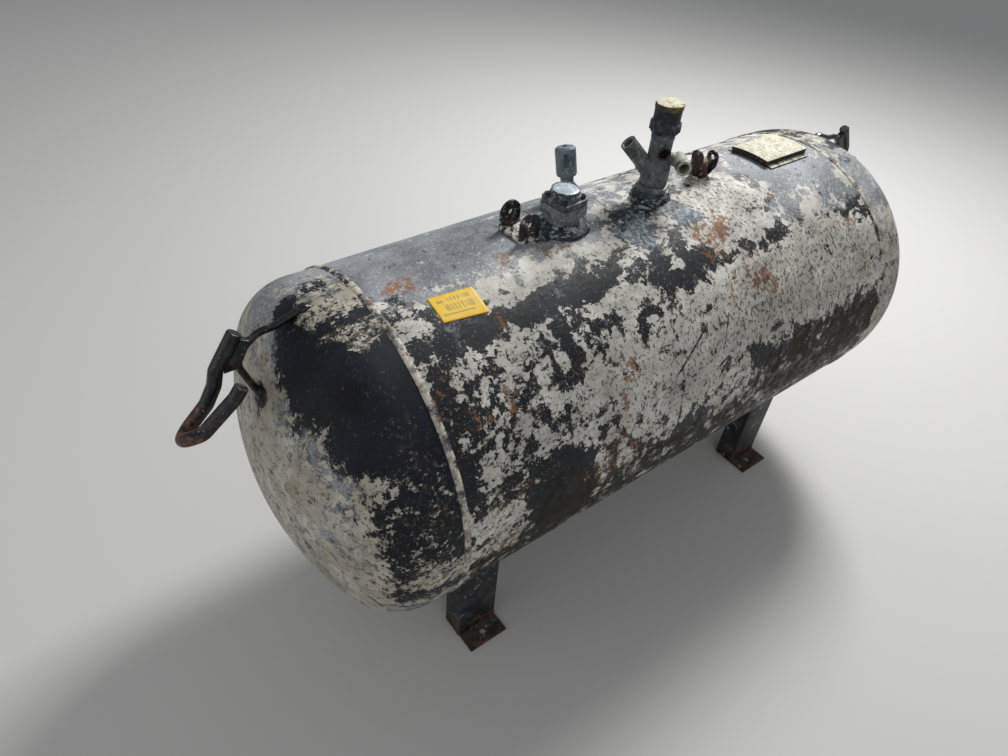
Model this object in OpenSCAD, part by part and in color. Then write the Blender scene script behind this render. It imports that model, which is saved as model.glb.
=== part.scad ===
// Horizontal pressure tank for gas, resting on four channel legs.
// The tank's axis runs along X, its fittings stand on the top line,
// and the origin lies on the floor below the middle of the barrel.

/* [Barrel and heads] */
// Outside diameter of the barrel
tank_d = 610; // [400:10:900]
// Length of the barrel between its two girth seams
barrel_len = 1110; // [900:10:2000]
// Thickness of the barrel and head plate
wall = 5; // [4:0.5:10]
// Length of the straight flange on each head
flange_len = 45; // [20:1:80]
// Outside radius of the dished middle of each head
crown_r = 515; // [480:5:700]
// Outside radius of the knuckle between dish and flange
knuckle_r = 104; // [80:2:120]
// Width of the girth weld beads
seam_w = 13; // [8:1:20]
// Height of the girth weld beads above the plate
seam_h = 2.5; // [1.5:0.5:4]

/* [Legs] */
// Height of the tank's axis above the floor
axis_h = 480; // [460:5:650]
// Distance of each leg's middle from its girth seam
leg_inset = 115; // [60:5:250]
// Distance of each leg's outer face from the tank's centre plane
leg_y = 200; // [160:5:215]
// Width of the leg's web
leg_w = 90; // [60:5:110]
// Depth of the leg's flanges
leg_depth = 50; // [40:5:70]
// Thickness of the leg plate
leg_t = 5; // [4:0.5:8]
// Thickness of the foot plates
foot_t = 6; // [4:0.5:10]
// Reach of the foot plate outside the leg's web
foot_reach = 45; // [35:5:60]
// Anchor hole in the foot plate
anchor_d = 14; // [10:1:20]

/* [Float gauge] */
// Distance of the gauge to the left of the tank's middle
gauge_x = -160; // [-200:5:-130]
// Turn of the square gauge flanges about their axis
gauge_turn = 5; // [-20:1:20]
// Side of the square gauge flanges
gauge_side = 64; // [54:2:80]
// Diameter of the dial
dial_d = 50; // [36:2:50]
// Bore of the gauge opening
gauge_bore = 38; // [30:2:44]

/* [Relief valve] */
// Distance of the relief valve to the left of the tank's middle
relief_x = -70; // [-80:5:-20]
// Angle of the relief valve behind the top line
relief_angle = 16; // [10:1:25]
// Diameter of the relief valve's bonnet
relief_d = 39; // [30:1:44]
// Turn of the bonnet's slot away from the front
slot_turn = -38; // [-90:1:90]

/* [Fill and service valve] */
// Distance of the valve to the right of the tank's middle
valve_x = 62; // [40:2:100]
// Turn of the valve's front port away from the front of the tank
valve_turn = -32; // [-45:1:0]
// Diameter of the valve's lower body
valve_d = 52; // [46:1:54]
// Diameter of the valve's upper trunk
trunk_d = 41; // [36:1:43]
// Bore through the valve coupling
valve_bore = 30; // [20:1:32]
// Diameter of the fill cap
cap_d = 51; // [48:1:60]
// Outside diameter of the angled service outlet
outlet_d = 30; // [24:1:34]
// Bore of the angled service outlet
outlet_bore = 19; // [12:1:22]
// Outside diameter of the front port
port_d = 26; // [22:1:28]
// Bore of the front port
port_bore = 19; // [12:1:19]
// Outside diameter of the side elbow
elbow_d = 28; // [24:1:30]
// Bore of the side elbow
elbow_bore = 19; // [12:1:20]

/* [Hood brackets] */
// Distance of the hinge bracket to the left of the tank's middle
hinge_x = -243; // [-300:1:-240]
// Distance of the hinge bracket's middle behind the top line
hinge_y = 15; // [-10:1:20]
// Distance of the latch bracket's upright to the right of the tank's middle
latch_x = 197; // [180:1:230]
// Clear gap between the latch bracket's upright and its staple
latch_gap = 26; // [24:1:40]
// Width of the hinge bracket's ears
ear_w = 42; // [30:1:50]
// Height of the hinge bracket's ears above the top line
ear_h = 50; // [45:1:80]
// Clear gap between the hinge bracket's ears
ear_gap = 49; // [30:1:60]
// Width of the latch bracket's upright and staple
latch_w = 27; // [24:1:36]
// Height of the latch staple above the top line
staple_h = 53; // [45:1:70]
// Thickness of the bracket plate
ear_t = 5; // [3:0.5:8]
// Diameter of the pin holes in the ears
pin_d = 10; // [6:1:12]

/* [Data plate] */
// Distance of the data plate's middle from the right girth seam
plate_inset = 114; // [90:1:160]
// Turn of the data plate behind the top line
plate_turn = 2.3; // [-5:0.1:5]
// Length of the data plate along the tank
plate_len = 136; // [100:2:160]
// Width of the data plate across the tank
plate_w = 92; // [60:1:110]
// Height of the data plate's face above the tank
plate_h = 13; // [8:1:24]

/* [Lifting lugs] */
// Diameter of the bent lug bar
lug_d = 12; // [8:1:16]
// Diameter of the hook bar
hook_d = 22; // [16:1:24]
// Distance of the lugs from the tank's centre plane
lug_y = 16; // [0:1:30]

/* [Hidden] */
// Clearance between a piece and the curved surface that it is welded to
seat = 0.3;
// Overlap of cutting solids past the face that they cut
cut = 1;
// Outside radius of the barrel
tank_r = tank_d / 2;
// Height of the tank's top line above the floor
top_z = axis_h + tank_r;
// Distance from the straight flange back to the middle of the crown's sphere
crown_drop = sqrt(pow(crown_r - knuckle_r, 2) - pow(tank_r - knuckle_r, 2));
// Depth of the head beyond its straight flange
head_depth = crown_r - crown_drop;
// Angle from the head's axis at which the crown runs into the knuckle
head_lean = atan2(tank_r - knuckle_r, crown_drop);
// Distance of each leg's middle from the middle of the tank
leg_x = barrel_len / 2 - leg_inset;
// Distance of the data plate's middle from the middle of the tank
plate_x = barrel_len / 2 - plate_inset;

// Distance of a head's surface from the middle of the tank, at a height above the axis
function head_x(height) = barrel_len / 2 + flange_len + (
    height < crown_r * sin(head_lean)
    ? sqrt(pow(crown_r, 2) - pow(height, 2)) - crown_drop
    : sqrt(pow(knuckle_r, 2) - pow(height - tank_r + knuckle_r, 2))
);

// Solid of the tank's outside grown by a clearance, along X on the tank's axis
module barrel_solid(grow = 0, len = barrel_len) {
    translate([0, 0, axis_h]) rotate([0, 90, 0])
        cylinder(r = tank_r + grow, h = len, center = true, $fn = 180);
}

// Half outline of a dished end with its dome radii cut back by an inset
module dome_outline(inset = 0) {
    reach = crown_r * 1.2;
    intersection() {
        union() {
            intersection() {
                translate([0, -crown_drop]) circle(r = crown_r - inset, $fn = 360);
                translate([0, -crown_drop])
                    polygon([[0, 0], [reach * sin(head_lean), reach * cos(head_lean)], [0, reach]]);
            }
            translate([tank_r - knuckle_r, 0]) circle(r = knuckle_r - inset, $fn = 180);
        }
        square([tank_r, head_depth]);
    }
}

// Shell of a dished end standing on its straight flange, dome up
module head_shell() {
    rotate_extrude($fn = 180) {
        difference() {
            dome_outline();
            dome_outline(wall);
            translate([-cut, -cut]) square([cut, head_depth]);
        }
        translate([tank_r - wall, -flange_len]) square([wall, flange_len]);
    }
}

// Places its children with local Z pointing out of the left or right end
module at_end(side) {
    translate([side * (barrel_len / 2 + flange_len), 0, axis_h]) rotate([0, side * 90, 0]) children();
}

module head(side) {
    color("dimgray") at_end(side) head_shell();
}

module seam_weld(side) {
    bead_r = (pow(seam_w / 2, 2) + pow(seam_h, 2)) / (2 * seam_h);
    color("gray") translate([side * barrel_len / 2, 0, axis_h]) rotate([0, 90, 0])
        rotate_extrude($fn = 180) intersection() {
            translate([tank_r + seam_h - bead_r, 0]) circle(r = bead_r, $fn = 90);
            translate([tank_r + seat, -seam_w]) square([seam_h, seam_w * 2]);
        }
}

module barrel() {
    color("gray") difference() {
        barrel_solid();
        barrel_solid(-wall, barrel_len + 2 * cut);
        translate([gauge_x, 0, axis_h]) cylinder(d = gauge_bore, h = tank_r + cut, $fn = 48);
        translate([valve_x, 0, axis_h]) cylinder(d = valve_bore, h = tank_r + cut, $fn = 48);
        at_relief(0) cylinder(d = relief_bore, h = tank_r + cut, $fn = 48);
    }
}

// One channel leg, its web outward, cut to the barrel
module leg(side_x, side_y) {
    leg_top = axis_h - tank_r / 2;
    color("dimgray") difference() {
        translate([side_x * leg_x, side_y * leg_y, foot_t]) mirror([0, side_y > 0 ? 1 : 0, 0])
            difference() {
                translate([-leg_w / 2, 0, 0]) cube([leg_w, leg_depth, leg_top - foot_t]);
                translate([-leg_w / 2 + leg_t, leg_t, -cut])
                    cube([leg_w - 2 * leg_t, leg_depth, leg_top - foot_t + 2 * cut]);
            }
        barrel_solid(seat);
    }
}

module foot(side_x, side_y) {
    color("dimgray") translate([side_x * leg_x, side_y * leg_y, 0]) mirror([0, side_y > 0 ? 1 : 0, 0])
        difference() {
            translate([-leg_w / 2, -foot_reach, 0]) cube([leg_w, foot_reach + leg_depth, foot_t]);
            translate([0, -foot_reach / 2, -cut])
                cylinder(d = anchor_d, h = foot_t + 2 * cut, $fn = 48);
        }
}

// Height of a weld coupling's lower rim above the top line
coupling_rim = 2;
// Flare of a weld coupling from its top to its foot
coupling_flare = 30;
// Height of the gauge coupling's flat top above the top line
gauge_base_h = 12;
// Height of the gauge adapter flange
gauge_adapter_h = 21;
// Height of the neck under the gauge adapter
gauge_neck_h = 11;
// Height of the gauge head's flange
gauge_head_h = 11;
// Diameter and height of the round ring that holds the dial
gauge_ring_d = 55;
gauge_ring_h = 8;
// Height of the dial lens
dial_h = 7.5;
// Corner radius of the square gauge flanges
gauge_corner = gauge_side * 0.16;
// Chamfer under the gauge adapter's flange
gauge_chamfer = 8;
// Heights of the adapter, the gauge head and the dial above the top line
gauge_z = [
    gauge_base_h,
    gauge_base_h + gauge_neck_h + gauge_adapter_h,
    gauge_base_h + gauge_neck_h + gauge_adapter_h + gauge_head_h + gauge_ring_h
];

// Plate with rounded corners
module rounded_plate(side, height, corner) {
    linear_extrude(height) union() {
        square([side - 2 * corner, side], center = true);
        square([side, side - 2 * corner], center = true);
        for (x = [-1, 1], y = [-1, 1])
            translate([x, y] * (side / 2 - corner)) circle(r = corner, $fn = 48);
    }
}

// Flared weld coupling on the top line, its foot cut to the barrel
module weld_coupling(foot_d, top_d, bore, height) {
    difference() {
        rotate_extrude($fn = 90) polygon([
            [bore / 2, -foot_d / 2], [foot_d / 2, -foot_d / 2], [foot_d / 2, coupling_rim],
            [top_d / 2, height], [bore / 2, height]
        ]);
        translate([0, 0, axis_h - top_z]) rotate([0, 90, 0])
            cylinder(r = tank_r + seat, h = 2 * foot_d, center = true, $fn = 180);
    }
}

// Places its children on the gauge's axis, at a height above the top line
module at_gauge(height) {
    translate([gauge_x, 0, top_z + height]) rotate([0, 0, gauge_turn]) children();
}

module gauge_coupling() {
    top_d = gauge_side + 4;
    color("slategray") at_gauge(0) rotate([0, 0, -gauge_turn])
        weld_coupling(top_d + coupling_flare, top_d, gauge_bore, gauge_base_h);
}

module gauge_adapter() {
    // Radius of the chamfer cone where it meets the flange's underside, and where it runs out
    foot_r = gauge_side / 2 + 4;
    rim_r = foot_r + gauge_chamfer;
    color("gray") at_gauge(gauge_z[0]) difference() {
        union() {
            cylinder(d = gauge_side - 2, h = gauge_neck_h, $fn = 90);
            translate([0, 0, gauge_neck_h]) intersection() {
                rounded_plate(gauge_side, gauge_adapter_h, gauge_corner);
                rotate_extrude($fn = 90) polygon([
                    [0, 0], [foot_r, 0], [rim_r, gauge_chamfer],
                    [rim_r, gauge_adapter_h], [0, gauge_adapter_h]
                ]);
            }
        }
        translate([0, 0, -cut])
            cylinder(d = gauge_bore, h = gauge_neck_h + gauge_adapter_h + 2 * cut, $fn = 48);
    }
}

module gauge_head() {
    color("darkgray") at_gauge(gauge_z[1]) {
        rounded_plate(gauge_side - 2, gauge_head_h, gauge_corner);
        cylinder(d = gauge_ring_d, h = gauge_head_h + gauge_ring_h, $fn = 90);
    }
}

module gauge_dial() {
    // Chamfer at the lens's rim
    rim = 2;
    color("lightsteelblue") at_gauge(gauge_z[2]) rotate_extrude($fn = 90) polygon([
        [0, 0], [dial_d / 2, 0], [dial_d / 2, dial_h - rim], [dial_d / 2 - rim, dial_h], [0, dial_h]
    ]);
}

// Bore of the relief valve coupling
relief_bore = 16;
// Height of the relief coupling above the plate
relief_coupling_h = 13;
// Depth of the relief coupling below the plate's crown, before it is cut to the barrel
relief_root = 8;
// Height of the neck between coupling and bonnet
relief_neck_h = 30;
// Height of the relief bonnet, and of the taper at its foot and its crown
relief_bonnet_h = 53;
relief_taper = 4;
// Width, depth, height and foot of the slot in the bonnet
slot_w = 8;
slot_depth = 6;
slot_h = 24;
slot_foot = 18;
// Diameter and height of the nub on the bonnet
nub_d = 8;
nub_h = 3;

// Places its children on the relief valve's line, at a height above the plate
module at_relief(height) {
    translate([relief_x, 0, axis_h]) rotate([-relief_angle, 0, 0]) translate([0, 0, height]) children();
}

module relief_coupling() {
    color("dimgray") at_relief(tank_r) difference() {
        translate([0, 0, -relief_root]) difference() {
            cylinder(d = relief_d + 6, h = relief_coupling_h + relief_root, $fn = 90);
            translate([0, 0, -cut])
                cylinder(d = relief_bore, h = relief_coupling_h + relief_root + 2 * cut, $fn = 48);
        }
        translate([0, 0, -tank_r]) rotate([0, 90, 0])
            cylinder(r = tank_r + seat, h = 4 * relief_d, center = true, $fn = 180);
    }
}

module relief_neck() {
    color("dimgray") at_relief(tank_r + relief_coupling_h) difference() {
        union() {
            cylinder(d = relief_d - 3, h = relief_neck_h / 2, $fn = 6);
            cylinder(d = relief_d - 14, h = relief_neck_h, $fn = 64);
        }
        translate([0, 0, -cut]) cylinder(d = relief_bore, h = relief_neck_h + 2 * cut, $fn = 48);
    }
}

module relief_bonnet() {
    color("gray") at_relief(tank_r + relief_coupling_h + relief_neck_h) difference() {
        rotate_extrude($fn = 90) polygon([
            [0, 0], [relief_d / 2 - relief_taper / 2, 0], [relief_d / 2, relief_taper],
            [relief_d / 2, relief_bonnet_h - relief_taper], [relief_d / 2 - relief_taper, relief_bonnet_h],
            [nub_d / 2, relief_bonnet_h], [nub_d / 2, relief_bonnet_h + nub_h], [0, relief_bonnet_h + nub_h]
        ]);
        rotate([0, 0, slot_turn]) translate([-slot_w / 2, -relief_d / 2 - cut, slot_foot])
            cube([slot_w, slot_depth + cut, slot_h]);
    }
}

// Heights of the valve pieces, one on the other from the top line
valve_coupling_h = 15;
valve_collar_h = 10;
valve_body_h = 83;
fill_neck_h = 15;
fill_collar_h = 24;
fill_thread_h = 20;
fill_cap_h = 10;
valve_z = [
    valve_coupling_h,
    valve_coupling_h + valve_collar_h,
    valve_coupling_h + valve_collar_h + valve_body_h,
    valve_coupling_h + valve_collar_h + valve_body_h + fill_neck_h,
    valve_coupling_h + valve_collar_h + valve_body_h + fill_neck_h + fill_collar_h + fill_thread_h
];

// Places its children on the valve's axis, at a height above the top line, front port towards -Y
module at_valve(height) {
    translate([valve_x, 0, top_z + height]) rotate([0, 0, valve_turn]) children();
}

module valve_coupling() {
    // Diameter of the coupling's flat top
    top_d = valve_d + 12;
    color("slategray") at_valve(0) rotate([0, 0, -valve_turn])
        weld_coupling(top_d + coupling_flare / 3, top_d, valve_bore, valve_coupling_h);
}

module valve_collar() {
    // Height of the round ring below the hexagon, and the hexagon's width
    ring_h = 3;
    hex_w = valve_d + 5;
    color("dimgray") at_valve(valve_z[0]) difference() {
        union() {
            cylinder(d = valve_d + 8, h = ring_h, $fn = 90);
            translate([0, 0, ring_h]) cylinder(d = hex_w / cos(30), h = valve_collar_h - ring_h, $fn = 6);
        }
        translate([0, 0, -cut]) cylinder(d = valve_bore, h = valve_collar_h + 2 * cut, $fn = 48);
    }
}

// Height of the outlet's root above the valve body's foot, and its lean from upright
outlet_root = 13;
outlet_lean = 44;
// Distance from the valve's axis to the outlet's mouth, and to where its nipple starts
outlet_len = 89;
outlet_start = 40;

// Places its children along the angled outlet, at a distance from the valve's axis
module at_outlet(along) {
    at_valve(valve_z[1] + outlet_root) rotate([0, -outlet_lean, 0]) translate([0, 0, along]) children();
}

// Height of the front port above the valve body's foot, and its reach from the valve's axis
port_height = 69;
port_reach = 28;
// Height of the side elbow above the valve body's foot
elbow_height = 48;
// Distance from the valve's axis to the elbow's first face and to its corner
elbow_start = 24;
elbow_reach = 39;
// Length of the elbow's level pipe
elbow_mouth = 40;
// Chamfer at the body's foot, height of its straight lower part, and foot of its trunk
body_chamfer = 3;
body_low = 34;
body_trunk = 50;
// Height of the cavity over the body's foot
body_cavity = 29;

module valve_body() {
    color("gray") difference() {
        union() {
            at_valve(valve_z[1]) rotate_extrude($fn = 90) polygon([
                [0, 0], [valve_d / 2 - body_chamfer, 0], [valve_d / 2, body_chamfer], [valve_d / 2, body_low],
                [trunk_d / 2, body_trunk], [trunk_d / 2, valve_body_h], [0, valve_body_h]
            ]);
            at_valve(valve_z[1] + port_height) rotate([90, 0, 0])
                cylinder(d = port_d, h = port_reach, $fn = 64);
            at_outlet(0) cylinder(d = outlet_d + 4, h = outlet_start, $fn = 64);
            at_valve(valve_z[1] + elbow_height) rotate([0, 90, 0])
                cylinder(d = elbow_d - 4, h = elbow_start, $fn = 64);
        }
        at_valve(valve_z[1] + port_height) rotate([90, 0, 0])
            cylinder(d = port_bore, h = port_reach + cut, $fn = 64);
        at_outlet(0) cylinder(d = outlet_bore, h = outlet_len, $fn = 64);
        at_valve(valve_z[1] - cut) cylinder(d = valve_bore, h = body_cavity + cut, $fn = 64);
    }
}

module service_outlet() {
    color("gray") at_outlet(outlet_start) difference() {
        cylinder(d = outlet_d, h = outlet_len - outlet_start, $fn = 64);
        translate([0, 0, -cut]) cylinder(d = outlet_bore, h = outlet_len, $fn = 64);
    }
}

module side_elbow() {
    color("tan") at_valve(valve_z[1] + elbow_height) difference() {
        union() {
            translate([elbow_start, 0, 0]) rotate([0, 90, 0])
                cylinder(d = elbow_d - 4, h = elbow_reach - elbow_start, $fn = 64);
            translate([elbow_reach, 0, 0]) sphere(d = elbow_d, $fn = 64);
            translate([elbow_reach, 0, 0]) rotate([90, 0, 0])
                cylinder(d = elbow_d, h = elbow_mouth, $fn = 64);
        }
        translate([elbow_reach, 0, 0]) rotate([90, 0, 0])
            cylinder(d = elbow_bore, h = elbow_mouth + cut, $fn = 64);
    }
}

module fill_neck() {
    // Height of the wider ring at the neck's top
    ring_h = 10;
    color("gray") at_valve(valve_z[2]) {
        cylinder(d = trunk_d, h = fill_neck_h - ring_h, $fn = 90);
        translate([0, 0, fill_neck_h - ring_h]) cylinder(d = trunk_d + 2, h = ring_h, $fn = 90);
    }
}

module fill_collar() {
    // Height of the round foot, radius of the twelve flats, and their taper towards foot and top
    foot_h = 4;
    flat_r = cap_d / 2 + 1.5;
    taper = 3;
    color("darkslategray") at_valve(valve_z[3]) {
        cylinder(d = trunk_d + 6, h = foot_h, $fn = 90);
        intersection() {
            translate([0, 0, foot_h]) cylinder(r = flat_r / cos(15), h = fill_collar_h - foot_h, $fn = 12);
            rotate_extrude($fn = 90) polygon([
                [0, 0], [flat_r - taper, 0], [flat_r - taper, foot_h], [flat_r + 1, foot_h + 2 * taper],
                [flat_r + 1, fill_collar_h - 2 * taper], [flat_r - taper, fill_collar_h], [0, fill_collar_h]
            ]);
        }
        translate([0, 0, fill_collar_h]) cylinder(d = cap_d - 5, h = fill_thread_h, $fn = 90);
    }
}

module fill_cap() {
    color("beige") at_valve(valve_z[4]) {
        cylinder(d = cap_d, h = fill_cap_h, $fn = 90);
        cylinder(d = nub_d, h = fill_cap_h + 1, $fn = 32);
    }
}

// Depth of the bracket ears below the top line, before they are cut to the barrel
ear_root = 6;

// Rounded ear standing on the plane Z = 0, its width along X and its faces across Y
module ear(width, height, thick, hole) {
    translate([0, thick / 2, 0]) rotate([90, 0, 0]) difference() {
        union() {
            translate([-width / 2, 0, 0]) cube([width, height - width / 2, thick]);
            translate([0, height - width / 2, 0]) cylinder(d = width, h = thick, $fn = 64);
        }
        translate([0, height - width / 2, -cut]) cylinder(d = hole, h = thick + 2 * cut, $fn = 48);
    }
}

module hinge_bracket() {
    color("black") difference() {
        translate([hinge_x, hinge_y, top_z - ear_root]) {
            for (side = [-1, 1]) translate([0, side * (ear_gap + ear_t) / 2, 0])
                ear(ear_w, ear_h + ear_root, ear_t, pin_d);
            translate([-ear_w / 2, -ear_gap / 2 - cut, 0])
                cube([ear_w, ear_gap + 2 * cut, ear_root + ear_t]);
        }
        barrel_solid(seat);
    }
}

// Lean of the latch bracket's upright and block towards the gauge
latch_lean = 8;
// Distance of the upright's middle behind the top line, and its height
upright_y = 8;
upright_h = 59;
// Height of the cut at the front lower corner of the upright and the staple
corner_cut = 25;
// Width of the strap that joins the upright and the staple, and its height above the top line
strap_w = 9;
strap_h = 4;

// Rounded upright with its front lower corner cut off, its faces across X, standing on the top line
module cut_ear(height) {
    half = latch_w / 2;
    rotate([0, 0, 90]) difference() {
        translate([0, 0, -ear_root]) ear(latch_w, height + ear_root, ear_t, pin_d);
        translate([0, ear_t, 0]) rotate([90, 0, 0]) linear_extrude(2 * ear_t) polygon([
            [-half - cut, -2 * ear_root], [0, -2 * ear_root], [0, 0],
            [-half, corner_cut], [-half - cut, corner_cut]
        ]);
    }
}

module latch_bracket() {
    color("black") difference() {
        union() {
            translate([latch_x, upright_y, top_z]) rotate([0, -latch_lean, 0]) cut_ear(upright_h);
            translate([latch_x, upright_y + strap_w / 4, top_z - ear_root])
                cube([ear_t / 2 + latch_gap, strap_w, ear_root + strap_h]);
        }
        barrel_solid(seat);
    }
}

module latch_staple() {
    color("black") difference() {
        translate([latch_x + latch_gap + ear_t, 0, top_z]) cut_ear(staple_h);
        barrel_solid(seat);
    }
}

module latch_block() {
    // Sides of the block, its clearance to the upright, and the slope of its top
    block = [18, 12, 38];
    gap = 0.6;
    slope = 5;
    color("saddlebrown") difference() {
        translate([latch_x, upright_y - block[1], top_z]) rotate([0, -latch_lean, 0])
            translate([ear_t / 2 + gap, 0, -ear_root]) intersection() {
                cube([block[0], block[1] + gap, block[2] + ear_root]);
                rotate([90, 0, 90]) linear_extrude(block[0]) polygon([
                    [0, 0], [block[1], 0], [block[1], block[2] + ear_root],
                    [slope, block[2] + ear_root], [0, block[2] + ear_root - slope]
                ]);
            }
        barrel_solid(seat);
    }
}

// Part of a cylinder shell on the tank's top between two heights above the plate
module top_band(len, width, low, high) {
    intersection() {
        translate([-len / 2, -width / 2, tank_r / 2]) cube([len, width, tank_r]);
        rotate([0, 90, 0]) difference() {
            cylinder(r = tank_r + high, h = len + 2 * cut, center = true, $fn = 180);
            cylinder(r = tank_r + low, h = len + 4 * cut, center = true, $fn = 180);
        }
    }
}

// Thickness of the data plate and of its frame's skirt
plate_t = 3;
// Width, thickness and end setback of the foot strips beside the data plate
strip_w = 11;
strip_t = 2.5;
strip_setback = 5;

// Places its children on the tank's axis below the data plate, turned with it
module at_plate() {
    translate([plate_x, 0, axis_h]) rotate([-plate_turn, 0, 0]) children();
}

module plate_frame() {
    color("dimgray") at_plate() {
        difference() {
            top_band(plate_len, plate_w, seat, plate_h - plate_t);
            top_band(plate_len - 2 * plate_t, plate_w - 2 * plate_t, 0, plate_h);
        }
        difference() {
            top_band(plate_len - 2 * strip_setback, plate_w + 2 * strip_w, seat, strip_t);
            top_band(plate_len + 2 * cut, plate_w - plate_t, 0, plate_h);
        }
    }
}

module data_plate() {
    color("beige") at_plate() top_band(plate_len + 2, plate_w + 2, plate_h - plate_t, plate_h);
}

// Unit vector
function unit(v) = v / norm(v);

// Points of a route whose inner corners are rounded to a radius
function rounded_route(p, r, steps) = concat(
    [p[0]],
    [for (i = [1 : len(p) - 2]) each corner_arc(p[i - 1], p[i], p[i + 1], r, steps)],
    [p[len(p) - 1]]
);

// Arc of a given radius between the lines a-b and b-c
function corner_arc(a, b, c, r, steps) = let(
    u = unit(a - b),
    v = unit(c - b),
    half = acos(u * v) / 2,
    back = r / tan(half),
    mid = b + unit(u + v) * (r / sin(half)),
    start = b + u * back,
    x_axis = unit(start - mid),
    y_axis = unit(-u),
    sweep = 180 - 2 * half
) [for (k = [0 : steps]) mid + r * (cos(sweep * k / steps) * x_axis + sin(sweep * k / steps) * y_axis)];

// Direction of the route at point i
function heading(p, i) =
    i == 0 ? unit(p[1] - p[0])
    : i == len(p) - 1 ? unit(p[i] - p[i - 1])
    : unit(unit(p[i] - p[i - 1]) + unit(p[i + 1] - p[i]));

// Sideways vectors along the route, each carried on from the one before
function side_vectors(p, first) = [
    for (i = 0, s = unit(cross(cross(heading(p, 0), first), heading(p, 0)));
         i < len(p);
         i = i + 1,
         s = i < len(p) ? unit(s - (s * heading(p, i)) * heading(p, i)) : s)
        s
];

// Round bar swept along a route
module bent_bar(p, d, sides = 16) {
    s = side_vectors(p, [0, 1, 0.2]);
    n = len(p);
    rings = [
        for (i = [0 : n - 1]) let(t = cross(heading(p, i), s[i]))
            for (k = [0 : sides - 1]) p[i] + d / 2 * (cos(360 * k / sides) * s[i] + sin(360 * k / sides) * t)
    ];
    walls = [
        for (i = [0 : n - 2], k = [0 : sides - 1]) [
            i * sides + k, (i + 1) * sides + k,
            (i + 1) * sides + (k + 1) % sides, i * sides + (k + 1) % sides
        ]
    ];
    caps = [[for (k = [0 : sides - 1]) k], [for (k = [sides - 1 : -1 : 0]) (n - 1) * sides + k]];
    polyhedron(points = rings, faces = concat(walls, caps), convexity = 6);
}

// Bends of the lug's bar: drop below the top line, and distance out from the head
lug_shape = [[5, 2], [20, 19], [22, 45], [38, 52], [60, 51], [75, 42], [136, -4]];
// Route of the left lug's bar: along the tank and above its axis
lug_route = [for (p = lug_shape) [-head_x(tank_r - p[0]) - p[1], tank_r - p[0]]];
// Bend in the lug's bar that carries the hook
lug_middle = [lug_route[4][0], lug_y, lug_route[4][1]];
// Bends of the left hook's bar, from that bend of the lug
hook_shape = [
    [5, 0, 51], [-32, 0, -2], [-39, 0, -27], [-56, 0, -56], [-103, 0, -101],
    [-102, -38, -72], [-78, -38, -73], [-23, -38, -30], [-11, -38, -14]
];
// Bend radius of the lug bar and of the hook bar, and steps in each bend
lug_bend = 24;
hook_bend = 17;
bend_steps = 6;
// Outline of the weld wedge between the left lug and its hook, from that bend of the lug
wedge_outline = [[23, 31], [3, 45], [-27, 5], [-31, -9], [0, -9]];
// Width of the weld wedge across the tank
wedge_w = 14;

// Bar of the left lug or hook in the part's own frame, grown by a clearance
module lug_bar(grow = 0) {
    route = [for (p = lug_route) [p[0], lug_y, axis_h + p[1]]];
    bent_bar(rounded_route(route, lug_bend, bend_steps), lug_d + 2 * grow);
}

module hook_bar(grow = 0) {
    route = [for (p = hook_shape) lug_middle + p + [0, 0, axis_h]];
    bent_bar(rounded_route(route, hook_bend, bend_steps), hook_d + 2 * grow);
}

module lug(side) {
    color("black") difference() {
        mirror([side > 0 ? 1 : 0, 0, 0]) union() {
            lug_bar();
            difference() {
                translate(lug_middle + [0, wedge_w / 2, axis_h]) rotate([90, 0, 0])
                    linear_extrude(wedge_w) polygon(wedge_outline);
                hook_bar(seat);
            }
        }
        head_solid(side);
    }
}

module hook(side) {
    color("black") mirror([side > 0 ? 1 : 0, 0, 0]) hook_bar();
}

module head_solid(side) {
    at_end(side) {
        rotate_extrude($fn = 180) dome_outline(-seat);
        translate([0, 0, -flange_len]) cylinder(r = tank_r + seat, h = flange_len + 0.01, $fn = 180);
    }
}

barrel();
head(-1);  // head_left
head(1);  // head_right
seam_weld(-1);  // seam_weld_left
seam_weld(1);  // seam_weld_right
leg(-1, -1);  // leg_front_left
leg(1, -1);  // leg_front_right
leg(-1, 1);  // leg_back_left
leg(1, 1);  // leg_back_right
foot(-1, -1);  // foot_front_left
foot(1, -1);  // foot_front_right
foot(-1, 1);  // foot_back_left
foot(1, 1);  // foot_back_right
gauge_coupling();
gauge_adapter();
gauge_head();
gauge_dial();
relief_coupling();
relief_neck();
relief_bonnet();
valve_coupling();
valve_collar();
valve_body();
service_outlet();
side_elbow();
fill_neck();
fill_collar();
fill_cap();
hinge_bracket();
latch_bracket();
latch_staple();
latch_block();
plate_frame();
data_plate();
lug(-1);  // lug_left
lug(1);  // lug_right
hook(-1);  // hook_left
hook(1);  // hook_right
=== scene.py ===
"""Looks of a weathered horizontal gas tank on four channel legs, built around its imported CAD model.

Lengths are millimetres in the model's frame: +X along the tank, +Y to its back, +Z up from the floor. The
tank's axis runs along X at AXIS above the floor. Blender works in metres, so every place passes through MM.
"""

import logging
import math
from dataclasses import dataclass
from enum import Enum
from statistics import NormalDist
from typing import Iterable, Sequence

import bmesh
import bpy
import numpy as np
from mathutils import Matrix, Vector, noise


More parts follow.
